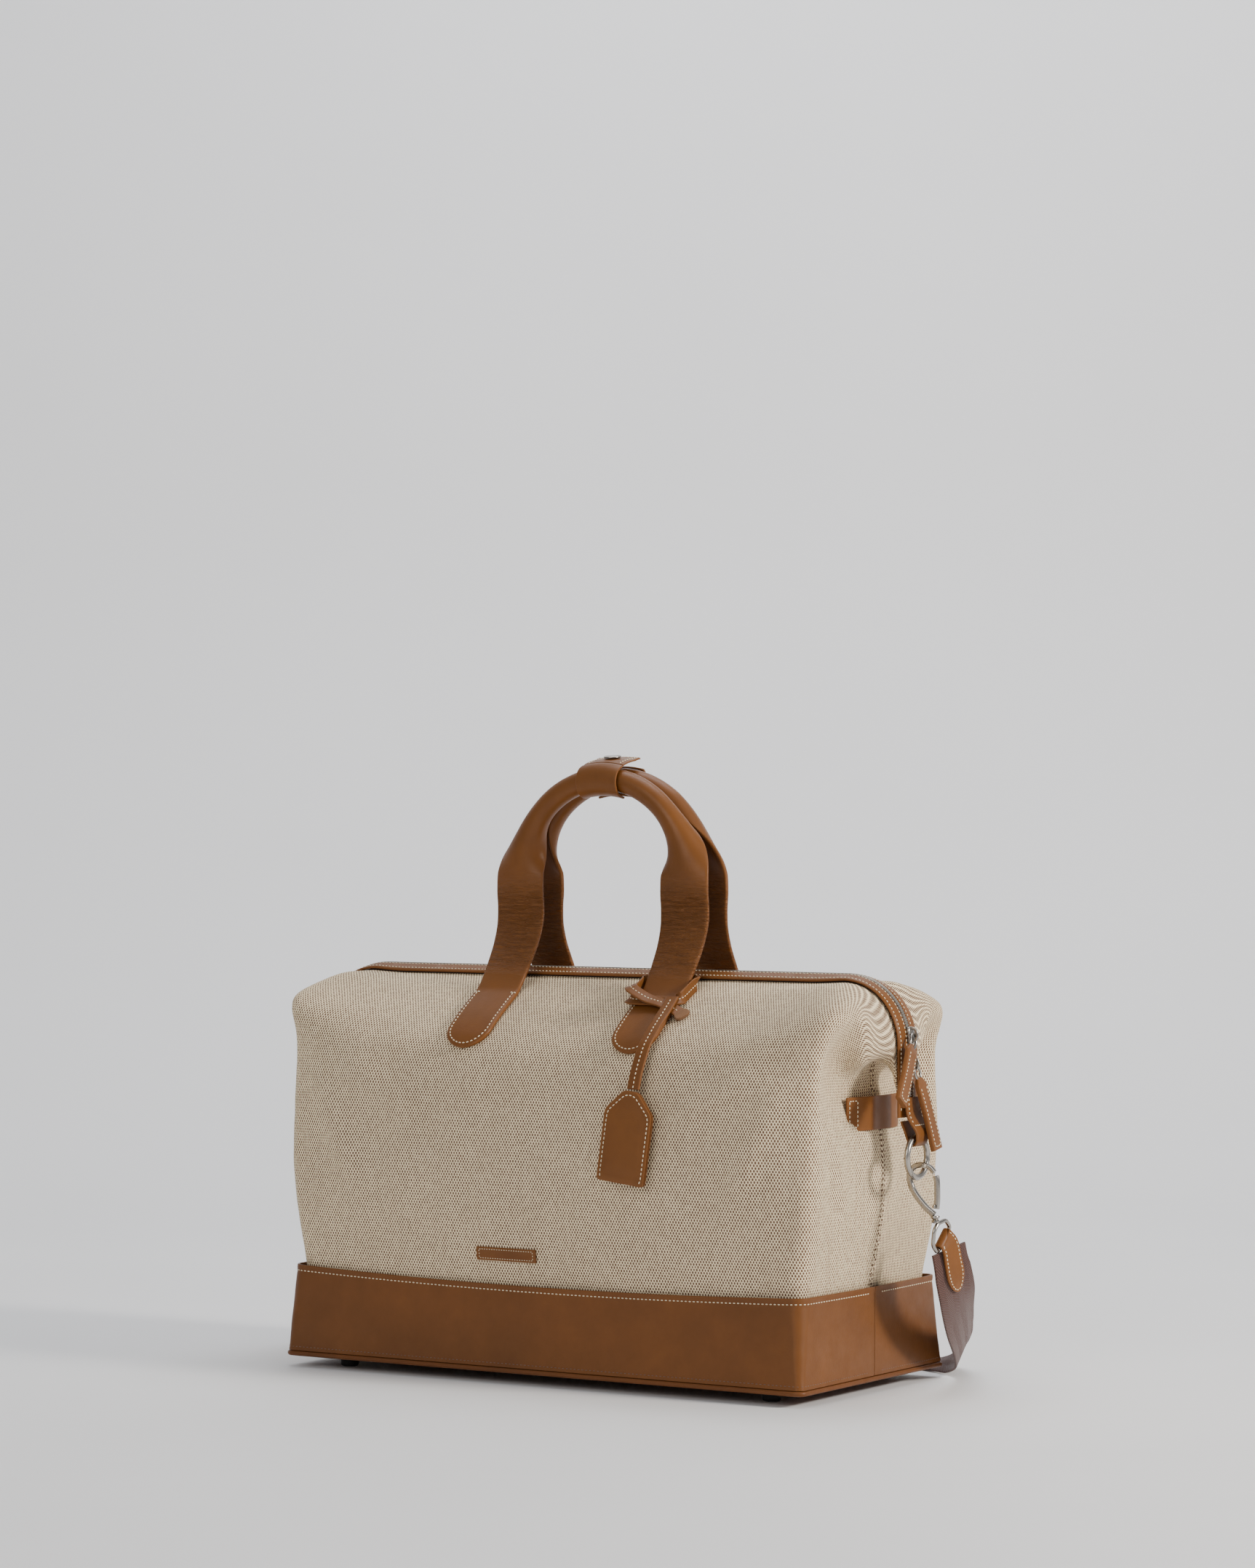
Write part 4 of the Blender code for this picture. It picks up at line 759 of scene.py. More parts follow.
def cloth_grid(nu=(12, 12, 12, 14, 22, 22, 22), nr=13):
    rows = (len(COLUMNS[0]) - 1) * nr
    us = [i + k / n for i, n in enumerate(nu) for k in range(n)] + [float(len(nu))]
    right = []
    for u in us:
        col = [cloth(u, j / nr) for j in range(rows + 1)]
        i = min(int(u), len(RUN) - 2)
        t = lerp(RUN[i], RUN[i + 1], u - i)
        close = max(0.0, (t - 0.340) / (RUN[-1] - 0.340))
        top = zedge(t, lerp(-0.0128, -0.0004, close * close), lerp(zunder(t), -0.0090, close))
        # the last rows slide onto the zip's edge
        shift = Vector(top) - Vector(col[-1])
        for j in range(rows - nr, rows + 1):
            w = smooth(rows - nr, rows, j)
            col[j] = tuple(Vector(col[j]) + shift * w)
        right.append(col)
    return right, us


def fold(p, a, b, width, height, soft=0.3):
    """Height of a soft ridge (or groove) along the segment a-b."""
    a, b, p = Vector(a), Vector(b), Vector(p)
    d = b - a
    t = (p - a).dot(d) / d.length_squared
    tc = clamp(t)
    q = (p - (a + d * tc)).length
    return height * math.exp(-(q / width) ** 2) * smooth(0, soft, tc + 0.02) * smooth(0, soft, 1.02 - tc) if 0 <= tc <= 1 else 0.0


def build_canvas():
    right, us = cloth_grid()
    nrow = len(right[0])
    for fb, sy in (("front", 1), ("back", -1)):
        G = [[(-p[0], p[1], p[2]) for p in c] for c in right[:0:-1]] + [list(c) for c in right]
        U = [-u for u in us[:0:-1]] + us
        N = normals(G)
        # cloth distances, for the weave
        S = [[0.0] * nrow for _ in G]
        T = [[0.0] * nrow for _ in G]
        mid = len(us) - 1
        for j in range(nrow):
            for i in range(mid + 1, len(G)):
                S[i][j] = S[i - 1][j] + math.dist(G[i][j], G[i - 1][j])
            for i in range(mid - 1, -1, -1):
                S[i][j] = S[i + 1][j] - math.dist(G[i][j], G[i + 1][j])
        for i in range(len(G)):
            for j in range(1, nrow):
                T[i][j] = T[i][j - 1] + math.dist(G[i][j], G[i][j - 1])
        # jm, the row at mid height, goes unused: each row takes its own distance along the cloth
        jm = nrow * 2 // 7
        out = []
        for i, c in enumerate(G):
            row = []
            for j, p in enumerate(c):
                q = Vector((p[0], p[1] * sy, p[2]))
                e = smooth(0.0, 0.10, j / (nrow - 1)) * smooth(0.0, 0.06, 1 - j / (nrow - 1)) * smooth(0.0, 0.5, 7.0 - abs(U[i]))
                h = 0.0036 * fbm(q, 7.0, 2, 3.1) + 0.0016 * fbm(q, 21.0, 2, 9.7) + 0.00045 * fbm(q, 60.0, 2, 1.3)
                sx = abs(p[0])
                # soft folds that fan out of the pinched corners
                h += fold((sx, p[1], p[2]), (0.228, -0.098, 0.262), (0.180, -0.112, 0.150), 0.013, 0.0042)
                h += fold((sx, p[1], p[2]), (0.238, -0.096, 0.235), (0.226, -0.105, 0.110), 0.010, -0.0030)
                h += fold((sx, p[1], p[2]), (0.205, -0.100, 0.262), (0.120, -0.112, 0.215), 0.012, 0.0030)
                h += fold((sx, p[1], p[2]), (0.245, -0.085, 0.230), (0.252, -0.045, 0.140), 0.010, 0.0026)
                h += fold((sx, p[1], p[2]), (0.250, -0.060, 0.250), (0.250, -0.012, 0.205), 0.008, -0.0026)
                # small puckers along the end seam
                d7 = 7.0 - abs(U[i])
                h += 0.0007 * math.sin(T[i][j] * 2 * math.pi / 0.011) * smooth(0.55, 0.05, d7) * smooth(0.0, 0.03, d7)
                # held flat under the sewn tabs and under the cross straps
                h *= 1.0 - 0.90 * smooth(0.034, 0.022, abs(sx - LEG_X)) * smooth(0.250, 0.272, p[2])
                h *= 1.0 - 0.90 * smooth(0.060, 0.050, -p[1]) * smooth(0.235, 0.243, sx) * smooth(0.195, 0.208, p[2]) * smooth(0.252, 0.241, p[2])
                r = Vector(p) + N[i][j] * (h * e)
                row.append((r.x, min(r.y, -0.0004), r.z))
            out.append(row)
        v, f = shell(out, 0.0014)
        v = [(a, min(b, -0.0003), c) for a, b, c in v]
        uv = [(S[i][jm] if False else S[i][j], T[i][j]) for i in range(len(G)) for j in range(nrow)]
        uv = uv + uv
        if sy < 0:
            v = mirror(v, 1)
        piece("canvas_%s_cloth" % fb, (v, f), "canvas", "root", ["canvas_" + fb], 70, slot="canvas", uv=uv)
        if sy > 0:
            globals()["CLOTH_OUT"] = out
    # felled seam down each end: two rows of small brown stitches
    for side, sx in (("right", 1), ("left", -1)):
        runs = []
        for yy in (-0.0022, 0.0022):
            col = CLOTH_OUT[-1 if sx > 0 else 0]
            run = []
            for p in col[8:-16]:
                run.append((p[0] + sx * 0.0002, yy, p[2], sx, 0, 0))
            runs.append(run)
        stitches("seam_stitches_" + side, runs, "root", "brown_thread", 0.0040, 0.0022, 0.00032, 0.0002, "canvas")


build_canvas()


# ---------------------------------------------------------------- base
def outline(w, d, r, n_side=(40, 20), n_c=10):
    pts = []
    hx, hy = w / 2, d / 2
    for k in range(n_side[1] // 2):
        pts.append((hx, -(hy - r) * k / (n_side[1] // 2)))
    def corner(cx, cy, a0):
        for k in range(n_c + 1):
            a = math.radians(a0 - 90 * k / n_c)
            pts.append((cx + r * math.cos(a), cy + r * math.sin(a)))
    corner(hx - r, -hy + r, 0)
    for k in range(1, n_side[0]):
        pts.append((lerp(hx - r, -hx + r, k / n_side[0]), -hy))
    corner(-hx + r, -hy + r, -90)
    for k in range(1, n_side[1]):
        pts.append((-hx, lerp(-hy + r, hy - r, k / n_side[1])))
    corner(-hx + r, hy - r, 180)
    for k in range(1, n_side[0]):
        pts.append((lerp(-hx + r, hx - r, k / n_side[0]), hy))
    corner(hx - r, hy - r, 90)
    for k in range(1, n_side[1] // 2):
        pts.append((hx, (hy - r) * (1 - k / (n_side[1] // 2))))
    return pts


def build_base():
    lo = outline(BASE_W - 0.0006, BASE_D - 0.0006, 0.007)
    hi = outline(TOP_W, TOP_D, 0.012)
    half = [k for k in range(len(lo)) if lo[k][1] < -1e-6]
    NU = 26

    def pt(k, u):
        a, b = lo[k], hi[k]
        x, y, z = lerp(a[0], b[0], u), lerp(a[1], b[1], u), lerp(BAND_Z0, BAND_Z1, u)
        mid = max(0.0, 1 - (abs(x) / 0.24) ** 2) if y < -0.09 else 0.0
        side = max(0.0, 1 - (y / 0.105) ** 2) if abs(x) > 0.235 else 0.0
        z -= 0.005 * mid * u
        y -= 0.0010 * mid * u
        x += math.copysign(0.0035 * side * u, x)
        return (x, y, z)

    def side_pt(sgn, u):
        return (sgn * (lerp(BASE_W / 2 - 0.0003, TOP_W / 2, u) + 0.0035 * u), -0.0003, lerp(BAND_Z0, BAND_Z1, u))
    us = [k / NU for k in range(NU + 1)]
    G = [[side_pt(1, u) for u in us]] + [[pt(k, u) for u in us] for k in half] + [[side_pt(-1, u) for u in us]]
    G = G[::-1]
    N = normals(G)
    for fb, sy in (("front", 1), ("back", -1)):
        P = []
        for i, c in enumerate(G):
            row = []
            for j, p in enumerate(c):
                q = Vector((p[0], p[1] * sy, p[2]))
                u = us[j]
                e = smooth(0, 0.12, u) * smooth(0, 0.12, 1 - u) * smooth(0.0, 0.012, -p[1])
                h = 0.0016 * fbm(q, 9.0, 2, 5.0) + 0.0004 * fbm(q, 45.0, 2, 2.0)
                # soft dents where the corners are handled
                corner = smooth(0.20, 0.245, abs(p[0])) * smooth(0.07, 0.105, -p[1])
                h += corner * 0.0009 * fbm(q, 34.0, 2, 8.0)
                # the folded top edge is a little fatter, with a press line at the stitches
                top = 0.00055 * smooth(0.945, 0.965, u) - 0.0005 * math.exp(-((u - 0.938) / 0.012) ** 2)
                r = Vector(p) + N[i][j] * (h * e + top)
                row.append((r.x, min(r.y, -0.0003), r.z))
            P.append(row)
        v, f = shell(P, 0.0020)
        edge = [0.35 * smooth(0.965, 1.0, us[j]) for i in range(len(P)) for j in range(len(us))]
        if sy < 0:
            v = mirror(v, 1)
        piece("base_leather_" + fb, (v, f), "base_leather", "root", ["base_band_" + fb], 50, bevel=0.0004, slot="base_leather", attrs={"edge": edge + edge})
        run, low = [], []
        for i, c in enumerate(P):
            a, b = Vector(c[NU - 2]), Vector(c[NU - 1])
            m = a.lerp(b, 0.25)
            n = N[i][NU - 2]
            run.append((m.x, m.y * sy, m.z, n.x, n.y * sy, n.z))
            m = Vector(c[1])
            n = N[i][1]
            low.append((m.x, m.y * sy, m.z + 0.0006, n.x, n.y * sy, n.z))
        stitches("base_stitches_" + fb, [run[1:-1]], "root", "thread", 0.0037, 0.0027, 0.00040, 0.00010, "base_leather")
        stitches("base_low_stitches_" + fb, [low[1:-1]], "root", "brown_thread", 0.0037, 0.0024, 0.00030, 0.00005, "base_leather")
    # piping round the bottom edge
    path = [(x, y, 0.01120) for x, y in outline(BASE_W - 0.0022, BASE_D - 0.0022, 0.0065, (60, 30), 12)]
    piece("base_piping_cord", sweep(path, lambda i: circle(0.0021, 12), (0, 0, 1), closed=True), "piping_leather", "root", ["base_piping"], 60, slot="base_leather")
    # bottom leather: a thin flat slab inside the piping
    o = outline(BASE_W - 0.0080, BASE_D - 0.0080, 0.0046)
    v, f = loft([[(x, y, 0.0092) for x, y in o], [(x * 1.001, y * 1.001, 0.0100) for x, y in o], [(x, y, 0.0111) for x, y in o]])
    piece("base_bottom", (v, f), "piping_leather", "root", ["base_panel"], 40, bevel=0.0003, slot="base_leather")
    for name, sx, sy in (("front_left", -1, -1), ("front_right", 1, -1), ("back_left", -1, 1), ("back_right", 1, 1)):
        prof = [(0.0005, 0.0), (0.0056, 0.0), (0.0066, 0.0004), (0.0072, 0.0013), (0.0075, 0.0026), (0.0075, 0.0070), (0.0072, 0.0084), (0.0030, 0.0086)]
        secs = [[(sx * FOOT_X + r * math.cos(2 * math.pi * k / 40), sy * FOOT_Y + r * math.sin(2 * math.pi * k / 40), z) for k in range(40)] for r, z in prof]
        piece("foot_%s_turned" % name, loft(secs), "rubber", "root", ["foot_" + name], 50, slot="rubber")


build_base()


# ---------------------------------------------------------------- zip
def build_zip():
    n = 300
    ts = [lerp(-ZIP_END, ZIP_END, k / n) for k in range(n + 1)]
    for fb, s in (("front", -1), ("back", 1)):
        y0, y1 = 0.0030, 0.0155
        secs = []
        prof = []
        # folded inner edge, gently domed top, thin outer edge
        for a, b in ((0.0, -0.0010), (0.0004, -0.0003), (0.0012, 0.0001), (0.0030, 0.00012), (0.0060, 0.0002), (0.0090, 0.00012), (0.0112, 0.0), (0.0122, -0.0004), (0.0125, -0.0011), (0.0122, -0.0018), (0.0110, -0.0022), (0.0060, -0.0022), (0.0010, -0.0022), (0.0002, -0.0018)):
            prof.append((a, b))
        for t in ts:
            wav = 0.0003 * fbm((t, s, 0.0), 30.0, 2, 4.0)
            secs.append([zip_pt(t, s * (y0 + a + wav), b - a * zslope(t) + wav * 0.6) for a, b in prof])
        v, f = loft(secs)
        edge = [0.30 if k in (0, 1, 8, 7) else 0.0 for _ in ts for k in range(len(prof))]
        piece("zip_leather_" + fb, (v, f), "trim_leather", "root", ["zip_band_" + fb], 60, slot="trim_leather", attrs={"edge": edge})
        runs = []
        for a in (0.0024, 0.0100):
            run = []
            for t in ts[2:-2]:
                slope = zslope(t)
                p = zip_pt(t, s * (y0 + a), 0.00025 - a * slope)
                q = zip_pt(t, s * (y0 + a) + s * slope, 0.00025 - a * slope + 1.0)
                nn = (Vector(q) - Vector(p)).normalized()
                run.append((*p, *nn))
            runs.append(run)
        stitches("zip_stitches_" + fb, runs, "root", "thread", 0.0034, 0.0025, 0.00034, 0.0)
        secs = []
        for t in [lerp(-0.326, 0.326, k / 200) for k in range(201)]:
            slope = zslope(t)
            secs.append([zip_pt(t, s * y, h) for y, h in ((0.0006, -0.0032), (0.0118, -0.0032 - 0.0112 * slope), (0.0118, -0.0038 - 0.0112 * slope), (0.0006, -0.0038))])
        piece("zip_tape_%s_twill" % fb, loft(secs), "tape", "root", ["zip_tape_" + fb], 40, slot="zip_tape")
    # teeth, staggered left and right of the middle
    V, F = [], []
    pitch = 0.0021
    k = 0
    t = -0.361
    while t < 0.361:
        p, nn = zip_at(t)
        nx, nz = nn
        tx, tz = nz, -nx
        s = 1 if k % 2 else -1
        base = len(V)
        for (hh, sh) in ((-0.0022, 1.0), (-0.0004, 1.0), (0.0002, 0.72)):
            for a, b in ((-0.00072, -0.0026), (0.00072, -0.0026), (0.00072, 0.0014), (-0.00072, 0.0014)):
                aa, bb = a * sh, (b + 0.0006) * sh - 0.0006
                V.append((p[0] + tx * aa + nx * hh, s * -bb, p[1] + tz * aa + nz * hh))
        F += [(base + 3, base + 2, base + 1, base)]
        for r in (0, 4):
            for j in range(4):
                j2 = (j + 1) % 4
                F.append((base + r + j, base + r + j2, base + r + 4 + j2, base + r + 4 + j))
        F.append((base + 8, base + 9, base + 10, base + 11))
        if s > 0:
            F[-10:] = [tuple(reversed(q)) for q in F[-10:]]
        t += pitch / 2
        k += 1
    piece("zip_teeth", (V, F), "antique", "root", ["zip_chain"], 30, slot="zip_metal")


build_zip()


# ---------------------------------------------------------------- handles
def leg_y(z):
    pts = [(0.3162, -0.0490), (0.3215, -0.0442), (0.3280, -0.0392), (0.3400, -0.0312), (0.3600, -0.0195), (0.3800, -0.0140), (0.4000, -0.0128), (0.4200, -0.0126), (0.4550, -0.0118), (0.4920, -0.0110)]
    if z <= pts[0][0]:
        return pts[0][1]
    for i, ((z0, y0), (z1, y1)) in enumerate(zip(pts, pts[1:])):
        if z <= z1:
            return catmull([(b, a) for a, b in pts], i + (z - z0) / (z1 - z0))[0]
    return pts[-1][1]


TAB_Y = [-0.0545, -0.0600, -0.0670, -0.0740, -0.0800, -0.0850, -0.0895, -0.0930, -0.0960, -0.0985, -0.1004]


def tab_line(d):
    """Line of the sewn tab at distance d above the canvas, from its round end up to the fold."""
    out = []
    for y in reversed(TAB_Y):
        yy, zz = roof_off(LEG_X, y, d)
        out.append((yy, zz))
    return out


def handle_line():
    """Centre line of the front handle from one tab's round end to the other's: (x, y, z, roll)."""
    tab = tab_line(0.0029)
    left = [(-LEG_X, y, z, 0.0) for y, z in tab] + [(-LEG_X, -0.0503, 0.3151, 0.0), (-LEG_X, -0.0464, 0.3191, 0.0)]
    for z, r in ((0.3270, 0.0), (0.3400, 0.0), (0.3540, 0.0), (0.3700, 0.02), (0.3850, 0.06), (0.3980, 0.125)):
        left.append((-LEG_X, leg_y(z), z, r))
    arch = []
    n = 40
    for k in range(n + 1):
        a = math.pi * (1 - k / n)
        x, z = ARCH_R * math.cos(a), ARCH_Z + ARCH_R * math.sin(a)
        e = min(k, n - k) / n
        arch.append((x, leg_y(z), z, clamp((e + 0.06) / 0.32)))
    right = [(-x, y, z, r) for x, y, z, r in reversed(left)]
    return resample(polyline(left + arch + right, 6), 0.00105)


def strap_section(r, width, thick, m=20):
    """Leather strip bent into a part tube, with eased edges: (across, back) pairs and how near each is to an edge."""
    q = r * r * (3 - 2 * r)
    ang = math.radians(lerp(9, 350, q))
    wid = lerp(width, 2 * math.pi * (GRIP_R - STRAP_T / 2) * 350 / 360, q)
    rad = wid / ang
    t = lerp(thick, 0.0030, q)
    pts, edge = [], []

    def put(a, off, e):
        rr = rad + off
        pts.append((rr * math.sin(a), -rr * math.cos(a) + lerp(rad, 0.0, q)))
        edge.append(e)
    ez = 0.0010 / rad
    for k in range(m + 1):
        put(lerp(-ang / 2 + ez, ang / 2 - ez, k / m), t / 2, 0.55 if k in (0, m) else 0.0)
    for k in range(1, 6):
        b = math.pi * k / 6
        put(ang / 2 - ez + ez * math.sin(b), t / 2 * math.cos(b), 1.0)
    for k in range(m + 1):
        put(lerp(ang / 2 - ez, -ang / 2 + ez, k / m), -t / 2, 0.55 if k in (0, m) else 0.0)
    for k in range(1, 6):
        b = math.pi * k / 6
        put(-ang / 2 + ez - ez * math.sin(b), -t / 2 * math.cos(b), 1.0)
    return pts, edge


def strap_frame(P, i):
    a, b = P[max(i - 1, 0)], P[min(i + 1, len(P) - 1)]
    t = (Vector(b[:3]) - Vector(a[:3])).normalized()
    front = Vector((0, -1, 0))
    across = t.cross(front)
    across = across.normalized() if across.length > 1e-4 else Vector((1, 0, 0))
    back = across.cross(t).normalized()
    if back.y < 0:
        back = -back
    return t, across, back


def build_handles():
    P = handle_line()
    L = [0.0]
    for a, b in zip(P, P[1:]):
        L.append(L[-1] + math.dist(a[:3], b[:3]))
    total = L[-1]
    hw = STRAP_W / 2
    tab_len = next(l for l, p in zip(L, P) if p[2] > 0.3150 and p[1] > -0.0506)
    for fb, sy, body in (("front", 1, "front_handle"), ("back", -1, "back_handle")):
        secs, edge, crease = [], [], []
        for i, p in enumerate(P):
            l = min(L[i], total - L[i])
            t, across, back = strap_frame(P, i)
            # round end of each tab, then the strap's full width, a little narrower above the fold
            w = hw
            if l < hw:
                w = math.sqrt(max(0.0, hw * hw - (hw - l) ** 2))
            w = max(w, 0.0012)
            above = smooth(tab_len - 0.004, tab_len + 0.012, l)
            w = lerp(w, lerp(STRAP_W * 0.965, 0.0455, clamp((p[2] - 0.318) / 0.060)) / 2, above)
            th = lerp(0.0030, STRAP_T, smooth(0.0, 0.012, l))
            pts, eg = strap_section(p[3], 2 * w, th)
            leg = smooth(0.3235, 0.342, p[2]) * smooth(0.418, 0.385, p[2])
            row = []
            for (u, v), e in zip(pts, eg):
                c = Vector(p[:3]) + across * u + back * v
                q = Vector((c.x * 75.0, sy * 5.0, c.z * 420.0 + 1.6 * noise.noise(Vector((c.x * 60, c.z * 60, sy)))))
                k = leg * 0.00034 * (noise.noise(q) + 0.5 * noise.noise(q * 2.1)) * smooth(1.0, 0.6, abs(u) / max(w, 1e-6))
                k += above * 0.0005 * fbm((c.x, c.z, sy), 28.0, 2, 6.0)
                row.append(tuple(c - back * k))
                edge.append(e * 0.8)
                crease.append(leg)
            secs.append(row)
        v, f = loft(secs)
        if sy < 0:
            v = mirror(v, 1)
        ob = piece("handle_%s_strap" % fb, (v, f), "leg_leather", body, [], 60, slot="trim_leather", attrs={"edge": edge, "crease": crease})
        ob.parent = None
        ob.matrix_world = Matrix.Identity(4)
        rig.replaces(ob, "handle_" + fb, "handle_tab_%s_left" % fb, "handle_tab_%s_right" % fb)
        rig.blend(ob, "root", body, start=(0, -0.0535 * sy + YS, 0.3128), end=(0, -0.0462 * sy + YS, 0.3200))
        # stitches: round each tab, three over the edge at its top, and along the back seam of the grip
        for lr, sx in (("left", 1), ("right", -1)):
            def at(a, l, lift=0.0):
                k = min(range(len(L)), key=lambda j: abs(L[j] - l))
                j = min(k, len(L) - 2) if L[k] <= l else max(k - 1, 0)
                w = (l - L[j]) / max(L[j + 1] - L[j], 1e-9)
                c = Vector(P[j][:3]).lerp(Vector(P[j + 1][:3]), w)
                t, across, back = strap_frame(P, j)
                th = lerp(0.0030, STRAP_T, smooth(0.0, 0.012, l))
                q = c + across * a - back * (th / 2 + lift + (a * a) / (2 * 0.267) * -1.0)
                return (q.x * sx, q.y * sy, q.z, -back.x * sx, -back.y * sy, -back.z)
            ins = 0.0032
            run = [at(-(hw - ins), l) for l in [lerp(tab_len - 0.003, hw, k / 24) for k in range(25)]]
            for k in range(1, 24):
                an = math.pi * k / 24
                run.append(at(-(hw - ins) * math.cos(an), hw - (hw - ins) * math.sin(an)))
            run += [at((hw - ins), l) for l in [lerp(hw, tab_len - 0.003, k / 24) for k in range(25)]]
            stitches("tab_stitches_%s_%s" % (fb, lr), [run], "root", "thread", 0.0037, 0.0028, 0.00042, 0.00010)
            tack = []
            for s in (-1, 1):
                tack.append([at(s * a, tab_len - 0.0030, 0.0001) for a in (hw - 0.0060, hw - 0.0040, hw - 0.0020, hw - 0.0004)])
            stitches("tab_tacks_%s_%s" % (fb, lr), tack, "root", "thread", 0.0030, 0.0028, 0.00048, 0.00015)
        run = []
        for i, p in enumerate(P):
            if p[3] > 0.80 and i % 3 == 0:
                t, across, back = strap_frame(P, i)
                a = math.radians(180 - 17)
                n = -across * math.sin(a) * 1.0 - back * math.cos(a)
                c = Vector(p[:3]) + n * (GRIP_R - 0.0003)
                run.append((c.x, c.y * sy, c.z, n.x, n.y * sy, n.z))
        stitches("grip_stitches_" + fb, [run], body, "thread", 0.0037, 0.0028, 0.00040, 0.00010)


build_handles()


def build_keeper():
    zc = ARCH_Z + ARCH_R
    yc = leg_y(zc)
    half = 0.0195
    R = GRIP_R + 0.0024

    def sheet_of(prof, n=28):
        P = []
        for i in range(n + 1):
            x = lerp(-half, half, i / n)
            dz = math.sqrt(ARCH_R ** 2 - x * x) - ARCH_R
            P.append([(x, y, z + dz * k) for y, z, k in prof])
        return P

    def arc(y0, a0, a1, n):
        return [(y0 + R * math.cos(math.radians(lerp(a0, a1, k / n))), zc + R * math.sin(math.radians(lerp(a0, a1, k / n))), 1.0) for k in range(n + 1)]

    def trimmed(name, P, t, body, stands, flip=False, inset=3):
        N = normals(P)
        v, f = shell(P, t)
        edge = []
        for i in range(len(P)):
            for j in range(len(P[0])):
                edge.append(1.0 if i in (0, len(P) - 1) or j in (0, len(P[0]) - 1) else 0.0)
        e2 = [0.8 * e for e in edge]
        if flip:
            v = mirror(v, 1)
        ob = piece(name, (v, f), "trim_leather", body, stands, 50, bevel=0.00045, seg=3, slot="trim_leather", attrs={"edge": e2 + e2})
        runs = []
        s = -1 if flip else 1
        for i in (inset, len(P) - 1 - inset):
            runs.append([(p[0], s * p[1], p[2], n.x, s * n.y, n.z) for p, n in zip(P[i][1:-1], N[i][1:-1])])
        return ob, runs, N
    P = sheet_of(arc(yc, 100, 275, 26))
    ob, runs, N = trimmed("keeper_front_leather", P, 0.0018, "front_handle", ["keeper_sleeve_front"])
    stitches("keeper_front_stitches", runs, "front_handle", "thread", 0.0036, 0.0027, 0.00042, 0.00008)
    P = sheet_of(arc(yc, 128, 275, 22))
    ob, runs, N = trimmed("keeper_back_leather", P, 0.0018, "back_handle", ["keeper_sleeve_back"], True)
    stitches("keeper_back_stitches", runs, "back_handle", "thread", 0.0036, 0.0027, 0.00042, 0.00008)
    pr = [(yc - 0.0016, zc + R + 0.0006), (yc + 0.004, zc + R + 0.0022), (yc + 0.012, zc + R + 0.0036), (yc + 0.021, zc + R + 0.0044), (yc + 0.0300, zc + R + 0.0052)]
    fine = polyline(pr, 6)
    prof = [(y, z + 0.0014, 1 - 0.6 * k / (len(fine) - 1)) for k, (y, z) in enumerate(fine)]
    P = sheet_of(prof)
    # the free end is cut with round corners
    for i in range(len(P)):
        u = abs(i / (len(P) - 1) - 0.5) * 2
        cut = 0.0075 * (1 - math.sqrt(max(0.0, 1 - max(0.0, (u - 0.62) / 0.38) ** 2)))
        for j in range(len(P[0])):
            w = smooth(0.55, 1.0, j / (len(P[0]) - 1))
            x, y, z = P[i][j]
            P[i][j] = (x, y - cut * w, z)
    ob, runs, N = trimmed("keeper_flap_leather", P, 0.0015, "keeper", ["keeper_flap"])
    end = [(P[i][-4][0], P[i][-4][1], P[i][-4][2], 0, 0, 1) for i in range(3, len(P) - 3)]
    stitches("keeper_flap_stitches", runs + [end], "keeper", "thread", 0.0036, 0.0027, 0.00042, 0.00008)
    # snap cap: turned, with a raised rim and a domed middle
    c = Vector((0.0, yc + 0.0125, zc + R + 0.0056))
    ax = Vector((0, -0.10, 1)).normalized()
    s = ax.orthogonal().normalized()
    t = ax.cross(s)
    prof = [(0.0070, 0.0), (0.0074, 0.0004), (0.0074, 0.0009), (0.0070, 0.0014), (0.0064, 0.0016), (0.0058, 0.0013), (0.0050, 0.0012), (0.0036, 0.0016), (0.0018, 0.0019), (0.0003, 0.0020)]
    secs = [[tuple(c + ax * h + (s * math.cos(a) + t * math.sin(a)) * r) for a in [2 * math.pi * k / 48 for k in range(48)]] for r, h in prof]
    piece("snap_cap_turned", loft(secs), "nickel", "keeper", ["snap_cap"], 50, slot="nickel")


build_keeper()


# ---------------------------------------------------------------- sliders and pulls
def nickel_bar(name, path, prof, up, body, stands, closed=False, mat="nickel", slot="nickel", deg=60, bevel=0.0):
    return piece(name, sweep(path, prof, up, closed), mat, body, stands, deg, slot=slot, bevel=bevel)


def build_slider(tag, t, body):
    p, nn = zip_at(t)
    n = Vector((nn[0], 0, nn[1]))
    tan = Vector((n[2], 0, -n[0]))
    o = Vector((p[0], 0, p[1]))
    half = polyline([(-0.0070, 0.0012), (-0.0062, 0.0033), (-0.0040, 0.0044), (0.0, 0.0043), (0.0035, 0.0044), (0.0060, 0.0036), (0.0070, 0.0014)], 5)
    pts = [(a, b) for a, b in half] + [(a, -b) for a, b in reversed(half)]
    levels = [(1.0, 0.0007), (1.0, 0.0019), (0.97, 0.0025), (0.90, 0.0028), (0.60, 0.0030), (0.05, 0.0031)]
    secs = [[tuple(o + tan * a * s + Vector((0, b * s, 0)) + n * h) for a, b in pts] for s, h in levels]
    piece("slider_%s_plate" % tag, loft(secs), "nickel", body, ["slider_" + tag], 55, slot="nickel")
    path = [tuple(o + tan * a + n * h) for a, h in polyline([(-0.0052, 0.0018), (-0.0050, 0.0044), (-0.0036, 0.0063), (-0.0010, 0.0070), (0.0020, 0.0068), (0.0040, 0.0050), (0.0046, 0.0020)], 6)]
    nickel_bar("slider_%s_bridge" % tag, path, lambda i: rect(0.0026, 0.0015, 0.0006, 3), (0, 1, 0), body, [])


